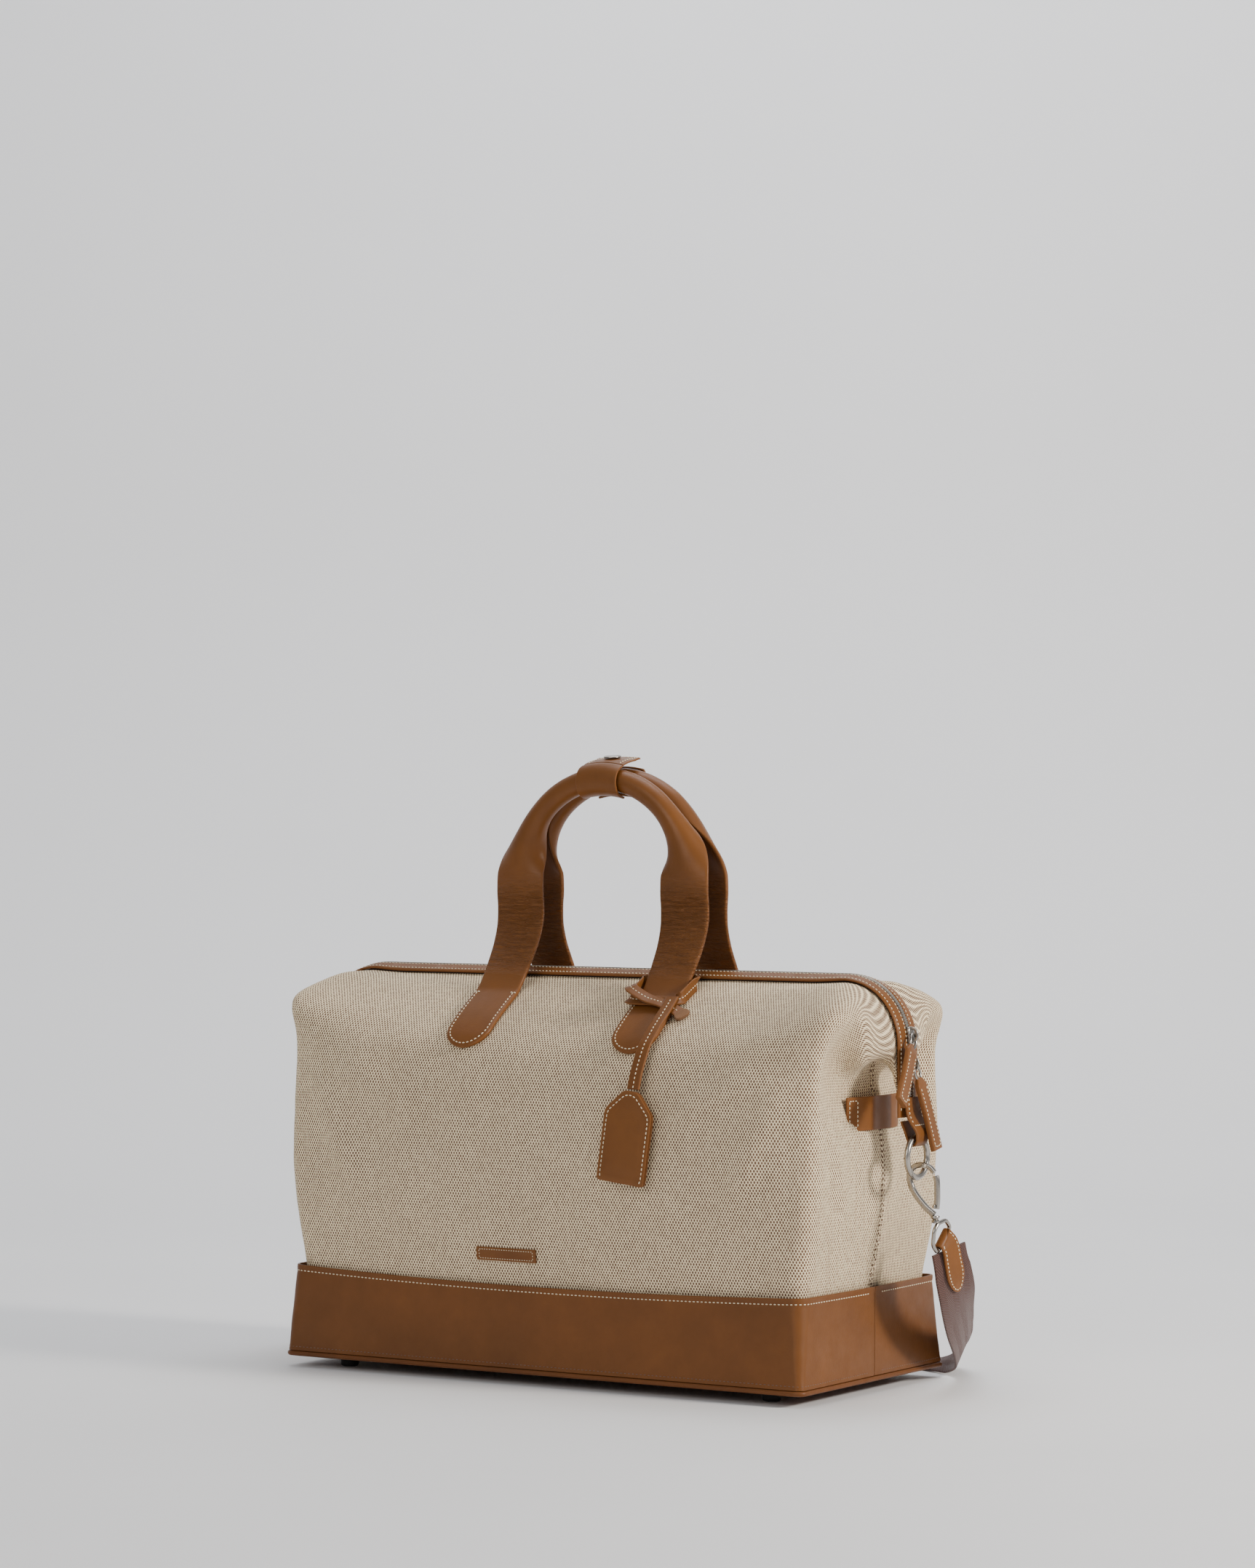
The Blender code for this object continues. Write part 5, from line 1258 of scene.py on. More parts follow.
def build_pull(tag, eye, d, face, body, length, width=0.0155):
    d, face = Vector(d).normalized(), Vector(face)
    face = (face - d * face.dot(d)).normalized()
    side = d.cross(face).normalized()
    eye = Vector(eye)
    pts = []
    for k in range(40):
        a = 2 * math.pi * k / 40
        pts.append(tuple(eye + d * (0.0066 - 0.0066 * math.cos(a)) + side * (0.0050 * math.copysign(abs(math.sin(a)) ** 0.8, math.sin(a)))))
    nickel_bar("pull_%s_wire" % tag, pts, lambda i: circle(0.00095, 12), tuple(face), body, ["pull_link_" + tag], closed=True)
    # two layers of leather folded over the wire and stitched down both sides
    top = eye + d * 0.0120
    n = 40
    V, F, E = [], [], []
    secs = []
    edge = []
    for k in range(n + 1):
        l = lerp(-0.0008, length + 0.0022, k / n)
        # narrow throat at the wire, full width below
        w = lerp(0.0052, width / 2, smooth(0.0, 0.0055, l)) + 0.0002 * math.sin(l * 160)
        th = lerp(0.0030, 0.0041, smooth(0.0, 0.006, l))
        if k == 0:
            w, th = w * 0.9, th * 0.45
        c = top + d * l + face * (0.0006 * math.sin(l / length * math.pi))
        prof = flat(2 * w, th, 8, 0.0009)
        secs.append([tuple(c + side * a + face * b) for a, b in prof])
        for a, b in prof:
            edge.append(0.85 if abs(a) > w - 0.0007 else 0.0)
    v, f = loft(secs)
    piece("pull_%s_strap" % tag, (v, f), "trim_leather", body, ["pull_leather_" + tag], 50, slot="trim_leather", attrs={"edge": edge}, bevel=0.0004)
    runs = []
    for fs in (1, -1):
        def at(a, l):
            c = top + d * l + face * (0.0006 * math.sin(l / length * math.pi)) + side * a + face * (fs * 0.00205)
            return (*c, *(face * fs))
        w = width / 2 - 0.0024
        runs.append([at(-w, l) for l in [lerp(0.007, length - 0.0005, k / 12) for k in range(13)]] + [at(lerp(-w, w, k / 4), length - 0.0005) for k in range(1, 4)] + [at(w, l) for l in [lerp(length - 0.0005, 0.007, k / 12) for k in range(13)]])
    stitches("pull_%s_stitches" % tag, runs, body, "thread", 0.0034, 0.0026, 0.00038, 0.00006)


build_slider("upper", SL_UP, "upper_slider")
build_slider("lower", SL_LO, "lower_slider")
_p, _n = zip_at(SL_UP)
build_pull("upper", Vector((_p[0], 0, _p[1])) + Vector((_n[0], 0, _n[1])) * 0.0048, (0.13, -0.58, -0.80), (0.98, 0.12, 0.1), "upper_pull", 0.050)
_p, _n = zip_at(SL_LO)
build_pull("lower", Vector((_p[0], 0, _p[1])) + Vector((_n[0], 0, _n[1])) * 0.0048, (0.19, 0.16, -0.97), (0.98, 0.10, 0.05), "lower_pull", 0.056)


# ---------------------------------------------------------------- end fittings
LOOP_TOP = Vector((0.3052, 0.0005, 0.1352))
LOOP_BAR = Vector((0.12, 0.62, 0.775)).normalized()
LOOP_PULL = Vector((-0.03, 0.775, -0.63)).normalized()
SIDE = {}


def cloth_side(y, z):
    if not SIDE:
        for a in range(0, 121):
            for b in range(0, 81):
                p = cloth(4.0 + 3.0 * a / 120, 1.5 + 2.7 * b / 80)
                SIDE[(a, b)] = p
    best = None
    for p in SIDE.values():
        d = abs(-p[1] - y) + abs(p[2] - z)
        if best is None or d < best[0]:
            best = (d, p[0])
    return best[1]


def side_strap_rows():
    zs = (0.2115, 0.2180, 0.2250, 0.2320, 0.2385)
    P = []
    for k in range(11):
        y = lerp(-0.046, 0.046, k / 10)
        x = max(cloth_side(max(abs(y) + e, 0.0), z) for z in zs for e in (-0.005, 0.0, 0.005))
        near = cloth_side(abs(y), zs[2])
        P.append((lerp(x + 0.0026, near + 0.0021, smooth(0.020, 0.040, abs(y))), y, 0.0))
    return polyline(P, 5)


def build_end(side, sx, rows):
    rg, hk, gt = side + "_ring", side + "_hook", side + "_gate"
    flip = (lambda v: v) if sx > 0 else (lambda v: mirror(v, 0))

    def put(name, vf, mat, body, stands, deg=50, **kw):
        return piece(name, (flip(vf[0]), vf[1]), mat, body, stands, deg, **kw)

    def st(name, runs, body, **kw):
        runs = [[(sx * a, b, c, sx * d, e, f) for a, b, c, d, e, f in r] for r in runs]
        return stitches(name, runs, body, **kw)
    x_out = ZIP_XC + ZIP_R
    path = [(x_out + 0.0030, 0, 0.2380), (x_out + 0.0042, 0, 0.2240), (RING_X + 0.0044, 0, 0.2120), (RING_X + 0.0046, 0, 0.2060), (RING_X + 0.0032, 0, 0.2016), (RING_X, 0, 0.1998),
            (RING_X - 0.0032, 0, 0.2016), (RING_X - 0.0046, 0, 0.2060), (RING_X - 0.0058, 0, 0.2120), (x_out - 0.0016, 0, 0.2190)]
    fine = polyline(path, 8)
    secs, edge, nr = [], [], []
    for i, p in enumerate(fine):
        a, b = Vector(fine[max(i - 1, 0)]), Vector(fine[min(i + 1, len(fine) - 1)])
        t = (b - a).normalized()
        nrm = Vector((0, 1, 0)).cross(t).normalized()
        nr.append(nrm)
        ww = 0.0245 if p[2] > 0.216 else lerp(0.0170, 0.0245, max(0.0, (p[2] - 0.2035) / 0.0125))
        prof = flat(ww, 0.0019, 8, 0.0006)
        secs.append([tuple(Vector(p) + Vector((0, 1, 0)) * w + nrm * h) for w, h in prof])
        edge += [0.8 if abs(w) > ww / 2 - 0.0006 else 0.0 for w, h in prof]
    put("zip_end_%s_leather" % side, loft(secs), "trim_leather", "root", ["zip_end_tab_" + side], 55, slot="trim_leather", attrs={"edge": edge})
    runs = []
    out = [(p, n) for p, n in zip(fine, nr) if p[2] > 0.2165][:26]
    for w in (-0.0096, 0.0096):
        runs.append([(p[0] + 0.00105 * abs(n.x), w, p[2], 1, 0, 0.1) for p, n in out if p[0] > x_out])
    q = min((p for p in fine if p[0] > x_out), key=lambda p: abs(p[2] - 0.2165))
    runs.append([(q[0] + 0.0010, lerp(-0.0096, 0.0096, k / 6), q[2], 1, 0, 0.2) for k in range(7)])
    st("zip_end_%s_stitches" % side, runs, "root", pitch=0.0034, length=0.0026, r=0.00040)
    ring = [(RING_X, RING_R * math.sin(2 * math.pi * k / 72), RING_Z + RING_R * math.cos(2 * math.pi * k / 72)) for k in range(72)]
    put("ring_%s_wire" % side, sweep(ring, lambda i: circle(RING_WIRE, 20), (1, 0, 0), closed=True), "nickel", rg, ["strap_ring_" + side], 60, slot="nickel")
    # cross strap on the gusset
    zs = (0.2115, 0.2385)
    P = []
    m = 10
    for x, y, _ in rows:
        P.append([(x + 0.0003 * math.sin(y * 300), y, lerp(zs[0], zs[1], k / m)) for k in range(m + 1)])
    v, f = shell(P, 0.0018)
    edge = [0.8 if i in (0, len(P) - 1) or j in (0, m) else 0.0 for i in range(len(P)) for j in range(m + 1)]
    put("cross_%s_leather" % side, (v, f), "trim_leather", "root", ["side_strap_" + side], 50, slot="trim_leather", attrs={"edge": edge + edge}, bevel=0.00045, seg=2)
    runs = []
    for s in (-1, 1):
        ys = [y for _, y, _ in rows]
        def xat(y):
            for (x0, y0, _), (x1, y1, _) in zip(rows, rows[1:]):
                if y0 <= y <= y1:
                    return lerp(x0, x1, (y - y0) / max(y1 - y0, 1e-9))
            return rows[0][0]
        y0, y1 = s * 0.0435, s * 0.0330
        z0, z1 = zs[0] + 0.0030, zs[1] - 0.0030
        box = [(y0, z0), (y0, z1), (y1, z1), (y1, z0), (y0, z0)]
        for (ya, za), (yb, zb) in zip(box, box[1:]):
            runs.append([(xat(lerp(ya, yb, k / 5)) + 0.0002, lerp(ya, yb, k / 5), lerp(za, zb, k / 5), 1, 0, 0) for k in range(6)])
    st("cross_%s_stitches" % side, runs, "root", pitch=0.0034, length=0.0026, r=0.00040)
    # snap hook: one bent bar, flat-sided and eased, thicker towards the pivot
    hook = [(0.3038, 0.1452), (0.2960, 0.1510), (0.2868, 0.1610), (0.2822, 0.1705), (0.2822, 0.1778), (0.2862, 0.1826), (0.2930, 0.1842), (0.2998, 0.1826), (0.3042, 0.1788)]
    path = [(x, 0, z) for x, z in polyline(hook, 8)]
    n = len(path)
    put("hook_%s_bar" % side, sweep(path, lambda i: rect(lerp(0.0052, 0.0042, i / n), lerp(0.0036, 0.0032, i / n), 0.0012, 4), (0, 1, 0)), "nickel", hk, ["hook_body_" + side], 50, slot="nickel")
    gate = [(0.3054, 0, 0.1762), (0.3062, 0, 0.1730), (0.3066, 0, 0.1690), (0.3067, 0, 0.1620), (0.3066, 0, 0.1560), (0.3060, 0, 0.1500)]
    put("gate_%s_bar" % side, sweep(polyline(gate, 6), lambda i: rect(0.0046, 0.0032, 0.0009, 4), (0, 1, 0)), "nickel", gt, ["hook_gate_" + side], 50, slot="nickel")
    # swivel: collar, waist and ball below the hook
    ax = Vector((0.10, 0, -1)).normalized()
    s = Vector((0, 1, 0))
    t = ax.cross(s).normalized()
    prof = [(0.0005, -0.0005), (0.0034, -0.0002), (0.0038, 0.0006), (0.0036, 0.0014), (0.0026, 0.0019), (0.0022, 0.0026), (0.0030, 0.0033), (0.0034, 0.0042), (0.0030, 0.0050), (0.0016, 0.0055), (0.0003, 0.0056)]
    o = Vector((0.3047, 0, 0.1440))
    secs = [[tuple(o + ax * h + (s * math.cos(a) + t * math.sin(a)) * r) for a in [2 * math.pi * k / 36 for k in range(36)]] for r, h in prof]
    put("swivel_%s_turned" % side, loft(secs), "nickel", hk, ["hook_swivel_" + side], 50, slot="nickel")
    # rivet at the gate's pivot
    for sgn in (-1, 1):
        prof = [(0.0014, 0.0), (0.0015, 0.0003), (0.0010, 0.0006), (0.0002, 0.0007)]
        secs = [[(0.3052 + r * math.cos(2 * math.pi * k / 20), sgn * (0.00235 + h), 0.1520 + r * math.sin(2 * math.pi * k / 20)) for k in range(20)] for r, h in prof]
        put("rivet_%s_%s" % (side, "near" if sgn < 0 else "far"), loft(secs), "nickel", gt, [], 40, slot="nickel")
    # wire loop that the strap is sewn round
    a1, a2 = LOOP_BAR, LOOP_PULL
    c = LOOP_TOP + a2 * 0.0105
    shape = [(-0.0036, -0.0105), (0.0036, -0.0105), (0.0125, -0.0030), (0.0125, 0.0070), (-0.0125, 0.0070), (-0.0125, -0.0030)]
    lp = []
    m = len(shape)
    for k in range(m):
        p0, p1, p2 = shape[k - 1], shape[k], shape[(k + 1) % m]
        d0 = math.dist(p0, p1)
        d2 = math.dist(p1, p2)
        r0 = min(0.0030, d0 * 0.4) / d0
        r2 = min(0.0030, d2 * 0.4) / d2
        A = (lerp(p1[0], p0[0], r0), lerp(p1[1], p0[1], r0))
        B = (lerp(p1[0], p2[0], r2), lerp(p1[1], p2[1], r2))
        for u in [q / 6 for q in range(7)]:
            x = (1 - u) ** 2 * A[0] + 2 * u * (1 - u) * p1[0] + u * u * B[0]
            y = (1 - u) ** 2 * A[1] + 2 * u * (1 - u) * p1[1] + u * u * B[1]
            lp.append(tuple(c + a1 * x + a2 * y))
    put("loop_%s_wire" % side, sweep(lp, lambda i: circle(0.0017, 16), tuple(a1.cross(a2)), closed=True), "nickel", "root", ["strap_loop_" + side], 60, slot="nickel")


_rows = side_strap_rows()
for _s, _k in (("right", 1), ("left", -1)):
    build_end(_s, _k, _rows)


# ---------------------------------------------------------------- luggage tag
def build_tag():
    hw = STRAP_W / 2 + 0.0032
    yf, zf = roof_off(LEG_X, -0.0590, 0.0074)
    yb, zb = -0.0326, 0.3272
    loop, ups = [], []
    cor = [(-hw, yf, zf, 0), (hw, yf, zf, 0), (hw, yb, zb, 1), (-hw, yb, zb, 1)]
    for k in range(4):
        p, q, r = cor[k - 1], cor[k], cor[(k + 1) % 4]
        A = [lerp(q[i], p[i], 0.16) for i in range(4)]
        B = [lerp(q[i], r[i], 0.16) for i in range(4)]
        for u in [j / 5 for j in range(6)]:
            w = [(1 - u) ** 2 * A[i] + 2 * u * (1 - u) * q[i] + u * u * B[i] for i in range(4)]
            loop.append((LEG_X + w[0], w[1], w[2]))
            ups.append((0.0, lerp(0.800, 0.50, w[3]), lerp(0.60, 0.87, w[3])))
        for j in range(1, 8):
            w = [lerp(B[i], lerp(r[i], q[i], 0.16), j / 8) for i in range(4)]
            loop.append((LEG_X + w[0], w[1], w[2]))
            ups.append((0.0, lerp(0.800, 0.50, w[3]), lerp(0.60, 0.87, w[3])))
    prof = [(b, a) for a, b in flat(0.0112, 0.0018, 6, 0.0006)]
    v, f = sweep(loop, lambda i: prof, lambda i: ups[i], closed=True)
    edge = [0.8 if abs(b) > 0.0050 else 0.0 for _ in loop for a, b in prof]
    piece("tag_loop_leather", (v, f), "trim_leather", "root", ["tag_loop"], 55, slot="trim_leather", attrs={"edge": edge})
    runs = []
    fr = frames(loop, lambda i: ups[i], True)
    for sgn in (1,):
        run = []
        for p, (t, s, l) in zip(loop, fr):
            c = Vector(p)
            mid = Vector((LEG_X, (yf + yb) / 2, (zf + zb) / 2))
            o = s if (c - mid).dot(s) > 0 else -s
            c = c + o * 0.00095
            run.append((*c, *o))
        runs.append(run)
    stitches("tag_loop_stitches", runs, "root", "thread", 0.0034, 0.0026, 0.00038, 0.0)
    # second pass of the strap over the first, ending in a short suede tail on the right
    a = (LEG_X - hw - 0.0003, yf - 0.0009, zf + 0.0058)
    pts = [(a[0] + 0.001, a[1] + 0.004, a[2] + 0.004), (a[0] + 0.006, a[1] - 0.0005, a[2] + 0.0020), (LEG_X - 0.004, yf - 0.0030, zf + 0.0010), (LEG_X + 0.010, yf - 0.0042, zf - 0.0022), (LEG_X + 0.020, yf - 0.0050, zf - 0.0058), (LEG_X + 0.0290, yf - 0.0066, zf - 0.0098), (LEG_X + 0.0345, yf - 0.0080, zf - 0.0128)]
    fine = polyline(pts, 8)
    nf = len(fine)
    up = Vector((0.0, -0.52, 0.855))
    secs, edge = [], []
    for i, p in enumerate(fine):
        q0, q1 = Vector(fine[max(i - 1, 0)]), Vector(fine[min(i + 1, nf - 1)])
        t = (q1 - q0).normalized()
        n = (up - t * up.dot(t)).normalized()
        s = t.cross(n).normalized()
        u = i / (nf - 1)
        w = 0.0052 if u < 0.80 else lerp(0.0052, 0.0068, smooth(0.80, 0.88, u))
        if u > 0.93:
            w *= math.sqrt(max(0.08, 1 - ((u - 0.93) / 0.075) ** 2))
        pr = flat(2 * w, lerp(0.0018, 0.0030, smooth(0.78, 0.9, u)), 6, 0.0007)
        secs.append([tuple(Vector(p) + s * a_ + n * (b_ + 0.0012)) for a_, b_ in pr])
        edge += [0.8 if abs(a_) > w - 0.0007 else 0.0 for a_, b_ in pr]
    cutk = int(nf * 0.80)
    m = len(secs[0])
    piece("tag_loop_pass", loft(secs[:cutk + 1]), "trim_leather", "root", [], 55, slot="trim_leather", attrs={"edge": edge[:(cutk + 1) * m]})
    piece("tag_loop_tail", loft(secs[cutk:]), "suede", "root", [], 55, slot="trim_leather")
    run = []
    for i, p in enumerate(fine[:cutk]):
        q0, q1 = Vector(fine[max(i - 1, 0)]), Vector(fine[min(i + 1, nf - 1)])
        t = (q1 - q0).normalized()
        n = (up - t * up.dot(t)).normalized()
        c = Vector(p) + n * 0.0021
        run.append((*c, *n))
    stitches("tag_pass_stitches", [run], "root", "thread", 0.0034, 0.0026, 0.00038, 0.0)
    # hanging strap
    s = []
    for x, y, o in ((0.0985, -0.0575, 0.0092), (0.0990, -0.0640, 0.0086), (0.0992, -0.0740, 0.0078), (0.0992, -0.0840, 0.0078), (0.0990, -0.0930, 0.0078), (0.0986, -0.0995, 0.0084)):
        q = roof_off(x, y, o)
        s.append((x, q[0], q[1]))
    s += [(0.0982, -0.1160, 0.2585), (0.0976, -0.1205, 0.2440)]
    s = resample(polyline(s, 8), 0.0016)
    secs, edge, run = [], [], []
    for i, p in enumerate(s):
        a, b = Vector(s[max(i - 1, 0)]), Vector(s[min(i + 1, len(s) - 1)])
        t = (b - a).normalized()
        nrm = Vector((1, 0, 0)).cross(t).normalized()
        if nrm.y > 0:
            nrm = -nrm
        sd = t.cross(nrm).normalized()
        pr = flat(0.0112, 0.0022, 6, 0.0008)
        secs.append([tuple(Vector(p) + sd * w + nrm * h) for w, h in pr])
        edge += [0.8 if abs(w) > 0.0049 else 0.0 for w, h in pr]
        c = Vector(p) + nrm * 0.00115
        run.append((*c, *nrm))
    piece("tag_strap_leather", loft(secs), "trim_leather", "tag", ["tag_strap"], 55, slot="trim_leather", attrs={"edge": edge})
    stitches("tag_strap_stitches", [run[2:]], "tag", "thread", 0.0036, 0.0027, 0.00040, 0.0)
    # holder: two leathers sewn round three sides, open at the bottom
    c = Vector((0.0972, -0.1222, 0.2425))
    d = Vector((-0.125, -0.03, -0.99)).normalized()
    n = Vector((0.05, -1.0, 0.03))
    n = (n - d * n.dot(d)).normalized()
    sd = d.cross(n).normalized()
    if sd.x < 0:
        sd = -sd
    H, W = 0.0740, 0.0430
    shape = [(-0.0064, 0.0), (0.0064, 0.0), (W / 2, 0.0170), (W / 2, H), (-W / 2, H), (-W / 2, 0.0170)]

    def inset(pts, k):
        out = []
        for (x, y) in pts:
            out.append((x * (1 - k / (W / 2)), y + (k * 0.9 if y < 0.01 else (k * 0.45 if y < 0.03 else 0.0))))
        return out

    def rounded(pts, r, per=5):
        out = []
        m = len(pts)
        for k in range(m):
            p0, p1, p2 = pts[k - 1], pts[k], pts[(k + 1) % m]
            d0, d2 = math.dist(p0, p1), math.dist(p1, p2)
            a = min(r, d0 * 0.4) / d0
            b = min(r, d2 * 0.4) / d2
            A = (lerp(p1[0], p0[0], a), lerp(p1[1], p0[1], a))
            B = (lerp(p1[0], p2[0], b), lerp(p1[1], p2[1], b))
            for u in [q / per for q in range(per + 1)]:
                out.append(((1 - u) ** 2 * A[0] + 2 * u * (1 - u) * p1[0] + u * u * B[0], (1 - u) ** 2 * A[1] + 2 * u * (1 - u) * p1[1] + u * u * B[1]))
        return out
    rr = rounded(shape, 0.0035)
    for nm, h0, h1, first in (("outer", 0.00055, 0.00235, True), ("inner", -0.00235, -0.00055, False)):
        rings = []
        for h, k in ((h0, 0.0006), (h0 + 0.0003, 0.0), (h1 - 0.0005, 0.0), (h1 - 0.0001, 0.0006)):
            rings.append([(x * (1 - k / (W / 2)), y + (k if y < 0.004 else (-k if y > H - 0.001 else 0)), h) for x, y in rr])
        # face gets inner loops so that it can swell over the card
        faces = []
        V = []
        m = len(rr)
        for r in rings:
            V += [tuple(c + sd * x + d * y + n * h) for x, y, h in r]
        F = []
        for k in range(len(rings) - 1):
            for j in range(m):
                j2 = (j + 1) % m
                F.append((k * m + j, k * m + j2, (k + 1) * m + j2, (k + 1) * m + j))
        cx, cy = 0.0, H * 0.55
        last = 3 * m
        hh = h1 - 0.0001
        for kk, (s_, sw) in enumerate(((0.85, -0.00025), (0.74, 0.0004), (0.5, 0.0006), (0.25, 0.0006))):
            base = len(V)
            sgn = 1
            for x, y in rr:
                xx, yy = lerp(cx, x, s_), lerp(cy, y, s_)
                V.append(tuple(c + sd * xx + d * yy + n * (hh + (sw if first else -0.0))))
            for j in range(m):
                j2 = (j + 1) % m
                F.append((last + j, last + j2, base + j2, base + j))
            last = base
        F.append(tuple(last + j for j in range(m)))
        F.append(tuple(reversed(range(m))))
        edge = [0.85 if k < 4 * m else 0.0 for k in range(len(V))]
        if not first:
            pass
        piece("tag_holder_" + nm, (V, F), "trim_leather", "tag", ["tag_holder"] if first else [], 35, slot="trim_leather", attrs={"edge": edge})
    ins = rounded([(-0.0040, 0.0030), (0.0040, 0.0030), (W / 2 - 0.0028, 0.0184), (W / 2 - 0.0028, H - 0.0015), (-W / 2 + 0.0028, H - 0.0015), (-W / 2 + 0.0028, 0.0184)], 0.003)
    # stitches follow the shoulders and the sides, and leave the bottom open
    per = len(ins) // 6
    order = ins[4 * per + per // 2:] + ins[:3 * per + per // 2 + 1]
    run = [(*(c + sd * x + d * y + n * 0.00232), *n) for x, y in order]
    run2 = [(*(c + sd * x + d * y - n * 0.00240), *(-n)) for x, y in order]
    stitches("tag_stitches", [run, run2], "tag", "thread", 0.0036, 0.0027, 0.00040, 0.0)


build_tag()


# ---------------------------------------------------------------- shoulder strap
WEB_ROUTE = [
    ((0.3062, 0.0195, 0.1165), (0.28, 0.95, 0.05)),
    ((0.3078, 0.0240, 0.0980), (0.30, 0.95, 0.05)),
    ((0.3040, 0.0390, 0.0770), (0.26, 0.93, 0.25)),
    ((0.2920, 0.0660, 0.0550), (0.15, 0.85, 0.50)),
    ((0.2765, 0.1000, 0.0360), (0.05, 0.72, 0.69)),
    ((0.2570, 0.1330, 0.0200), (-0.05, 0.75, 0.60)),
    ((0.2260, 0.1570, 0.0070), (-0.05, 0.95, 0.20)),
    ((0.1850, 0.1690, 0.0024), (0.0, 1.0, 0.0)),
    ((0.1300, 0.1740, 0.0020), (0.0, 1.0, 0.0)),
    ((0.0600, 0.1765, 0.0020), (0.0, 1.0, 0.0)),
    ((0.0000, 0.1768, 0.0020), (0.0, 1.0, 0.0)),
]


def build_strap():
    right = [(Vector(p), Vector(d).normalized()) for p, d in WEB_ROUTE]
    left = [(Vector((-p.x, p.y, p.z)), Vector((-d.x, d.y, d.z))) for p, d in right[-2::-1]]
    pts = right + left
    P = polyline([tuple(p) for p, _ in pts], 14)
    D = polyline([tuple(d) for _, d in pts], 14)
    n = len(P)
    secs, uv = [], []
    run = 0.0
    m = 12
    prof = flat(WEB_W, WEB_T, m, 0.0009)
    for i in range(n):
        if i:
            run += math.dist(P[i], P[i - 1])
        t = (Vector(P[min(i + 1, n - 1)]) - Vector(P[max(i - 1, 0)])).normalized()
        across = Vector(D[i])
        across = (across - t * across.dot(t)).normalized()
        nrm = t.cross(across).normalized()
        c = Vector(P[i])
        w, h = WEB_W / 2, WEB_T / 2
        low = min((c + across * a + nrm * b).z for a in (-w, w) for b in (-h, h))
        if low < 0.0006:
            c = c + Vector((0, 0, 0.0006 - low))
        secs.append([tuple(c + across * a + nrm * b) for a, b in prof])
        uv += [(a + 0.05, run) for a, b in prof]
    piece("strap_webbing", loft(secs), "webbing", "root", ["shoulder_strap"], 50, slot="webbing", uv=uv)
    for side, sx in (("right", 1), ("left", -1)):
        a3 = LOOP_PULL.cross(LOOP_BAR).normalized()
        bar = LOOP_TOP + LOOP_PULL * 0.0175
        q = [(tuple(bar - a3 * 0.0031 + LOOP_PULL * 0.0045), tuple(LOOP_BAR))]
        for k in range(7):
            th = math.radians(lerp(-90, 90, k / 6))
            q.append((tuple(bar - LOOP_PULL * 0.0031 * math.cos(th) + a3 * 0.0031 * math.sin(th)), tuple(LOOP_BAR)))
        q += [((0.3096, 0.0170, 0.1180), (0.22, 0.85, 0.40)), ((0.3104, 0.0200, 0.1060), (0.28, 0.94, 0.12)), ((0.3104, 0.0242, 0.0950), (0.30, 0.95, 0.05)), ((0.3078, 0.0330, 0.0820), (0.26, 0.93, 0.20))]
        P2 = polyline([a for a, _ in q], 8)
        D2 = polyline([b for _, b in q], 8)
        secs, edge = [], []
        last = None
        L, R = [], []
        for i in range(len(P2)):
            t = (Vector(P2[min(i + 1, len(P2) - 1)]) - Vector(P2[max(i - 1, 0)])).normalized()
            ac = Vector(D2[i])
            ac = (ac - t * ac.dot(t)).normalized()
            nrm = t.cross(ac).normalized()
            if last is not None and nrm.dot(last) < 0:
                nrm = -nrm
            last = nrm
            u = i / (len(P2) - 1)
            w = 0.0088 if u < 0.6 else lerp(0.0088, 0.0094, smooth(0.6, 0.7, u))
            if u > 0.86:
                w *= math.sqrt(max(0.02, 1 - ((u - 0.86) / 0.142) ** 2))
            pr = flat(2 * w, 0.0022, 8, 0.0007)
            secs.append([tuple(Vector(P2[i]) + ac * a + nrm * b) for a, b in pr])
            edge += [0.8 if abs(a) > w - 0.0007 else 0.0 for a, b in pr]
            if u > 0.58:
                ws = max(w - 0.0022, 0.0)
                if w > 0.0024:
                    for fs in (1, -1):
                        L.append((*(Vector(P2[i]) - ac * ws + nrm * (fs * 0.0012)), *(nrm * fs), fs))
                        R.append((*(Vector(P2[i]) + ac * ws + nrm * (fs * 0.0012)), *(nrm * fs), fs))
        v, f = loft(secs)
        if sx < 0:
            v = mirror(v, 0)
        piece("strap_end_%s_leather" % side, (v, f), "trim_leather", "root", ["strap_end_" + side], 55, slot="trim_leather", attrs={"edge": edge})
        runs = []
        for fs in (1, -1):
            a = [p[:6] for p in L if p[6] == fs]
            b = [p[:6] for p in R if p[6] == fs]
            r = a + b[::-1]
            runs.append([(sx * p[0], p[1], p[2], sx * p[3], p[4], p[5]) for p in r])
        stitches("strap_end_%s_stitches" % side, runs, "root", "thread", 0.0034, 0.0026, 0.00038, 0.0)
    w, d = 0.0225, 0.0085
    rr = 0.003
    path = []
    for cx, cy, a0 in ((d - rr, -w + rr, -90), (d - rr, w - rr, 0), (-d + rr, w - rr, 90), (-d + rr, -w + rr, 180)):
        for k in range(7):
            a = math.radians(a0 + 90 * k / 6)
            path.append((-0.06 + cx + rr * math.cos(a), 0.1768 + cy + rr * math.sin(a), 0.0050))
    piece("adjuster_frame", sweep(path, lambda i: rect(0.0024, 0.0020, 0.0006, 3), (0, 0, 1), closed=True), "nickel", "adjuster", ["strap_adjuster"], 50, slot="nickel")
    bar = [(-0.06, 0.1768 + lerp(-w, w, k / 8), 0.0050) for k in range(9)]
    piece("adjuster_bar", sweep(bar, lambda i: circle(0.0010, 12), (0, 0, 1)), "nickel", "adjuster", [], 50, slot="nickel")


build_strap()


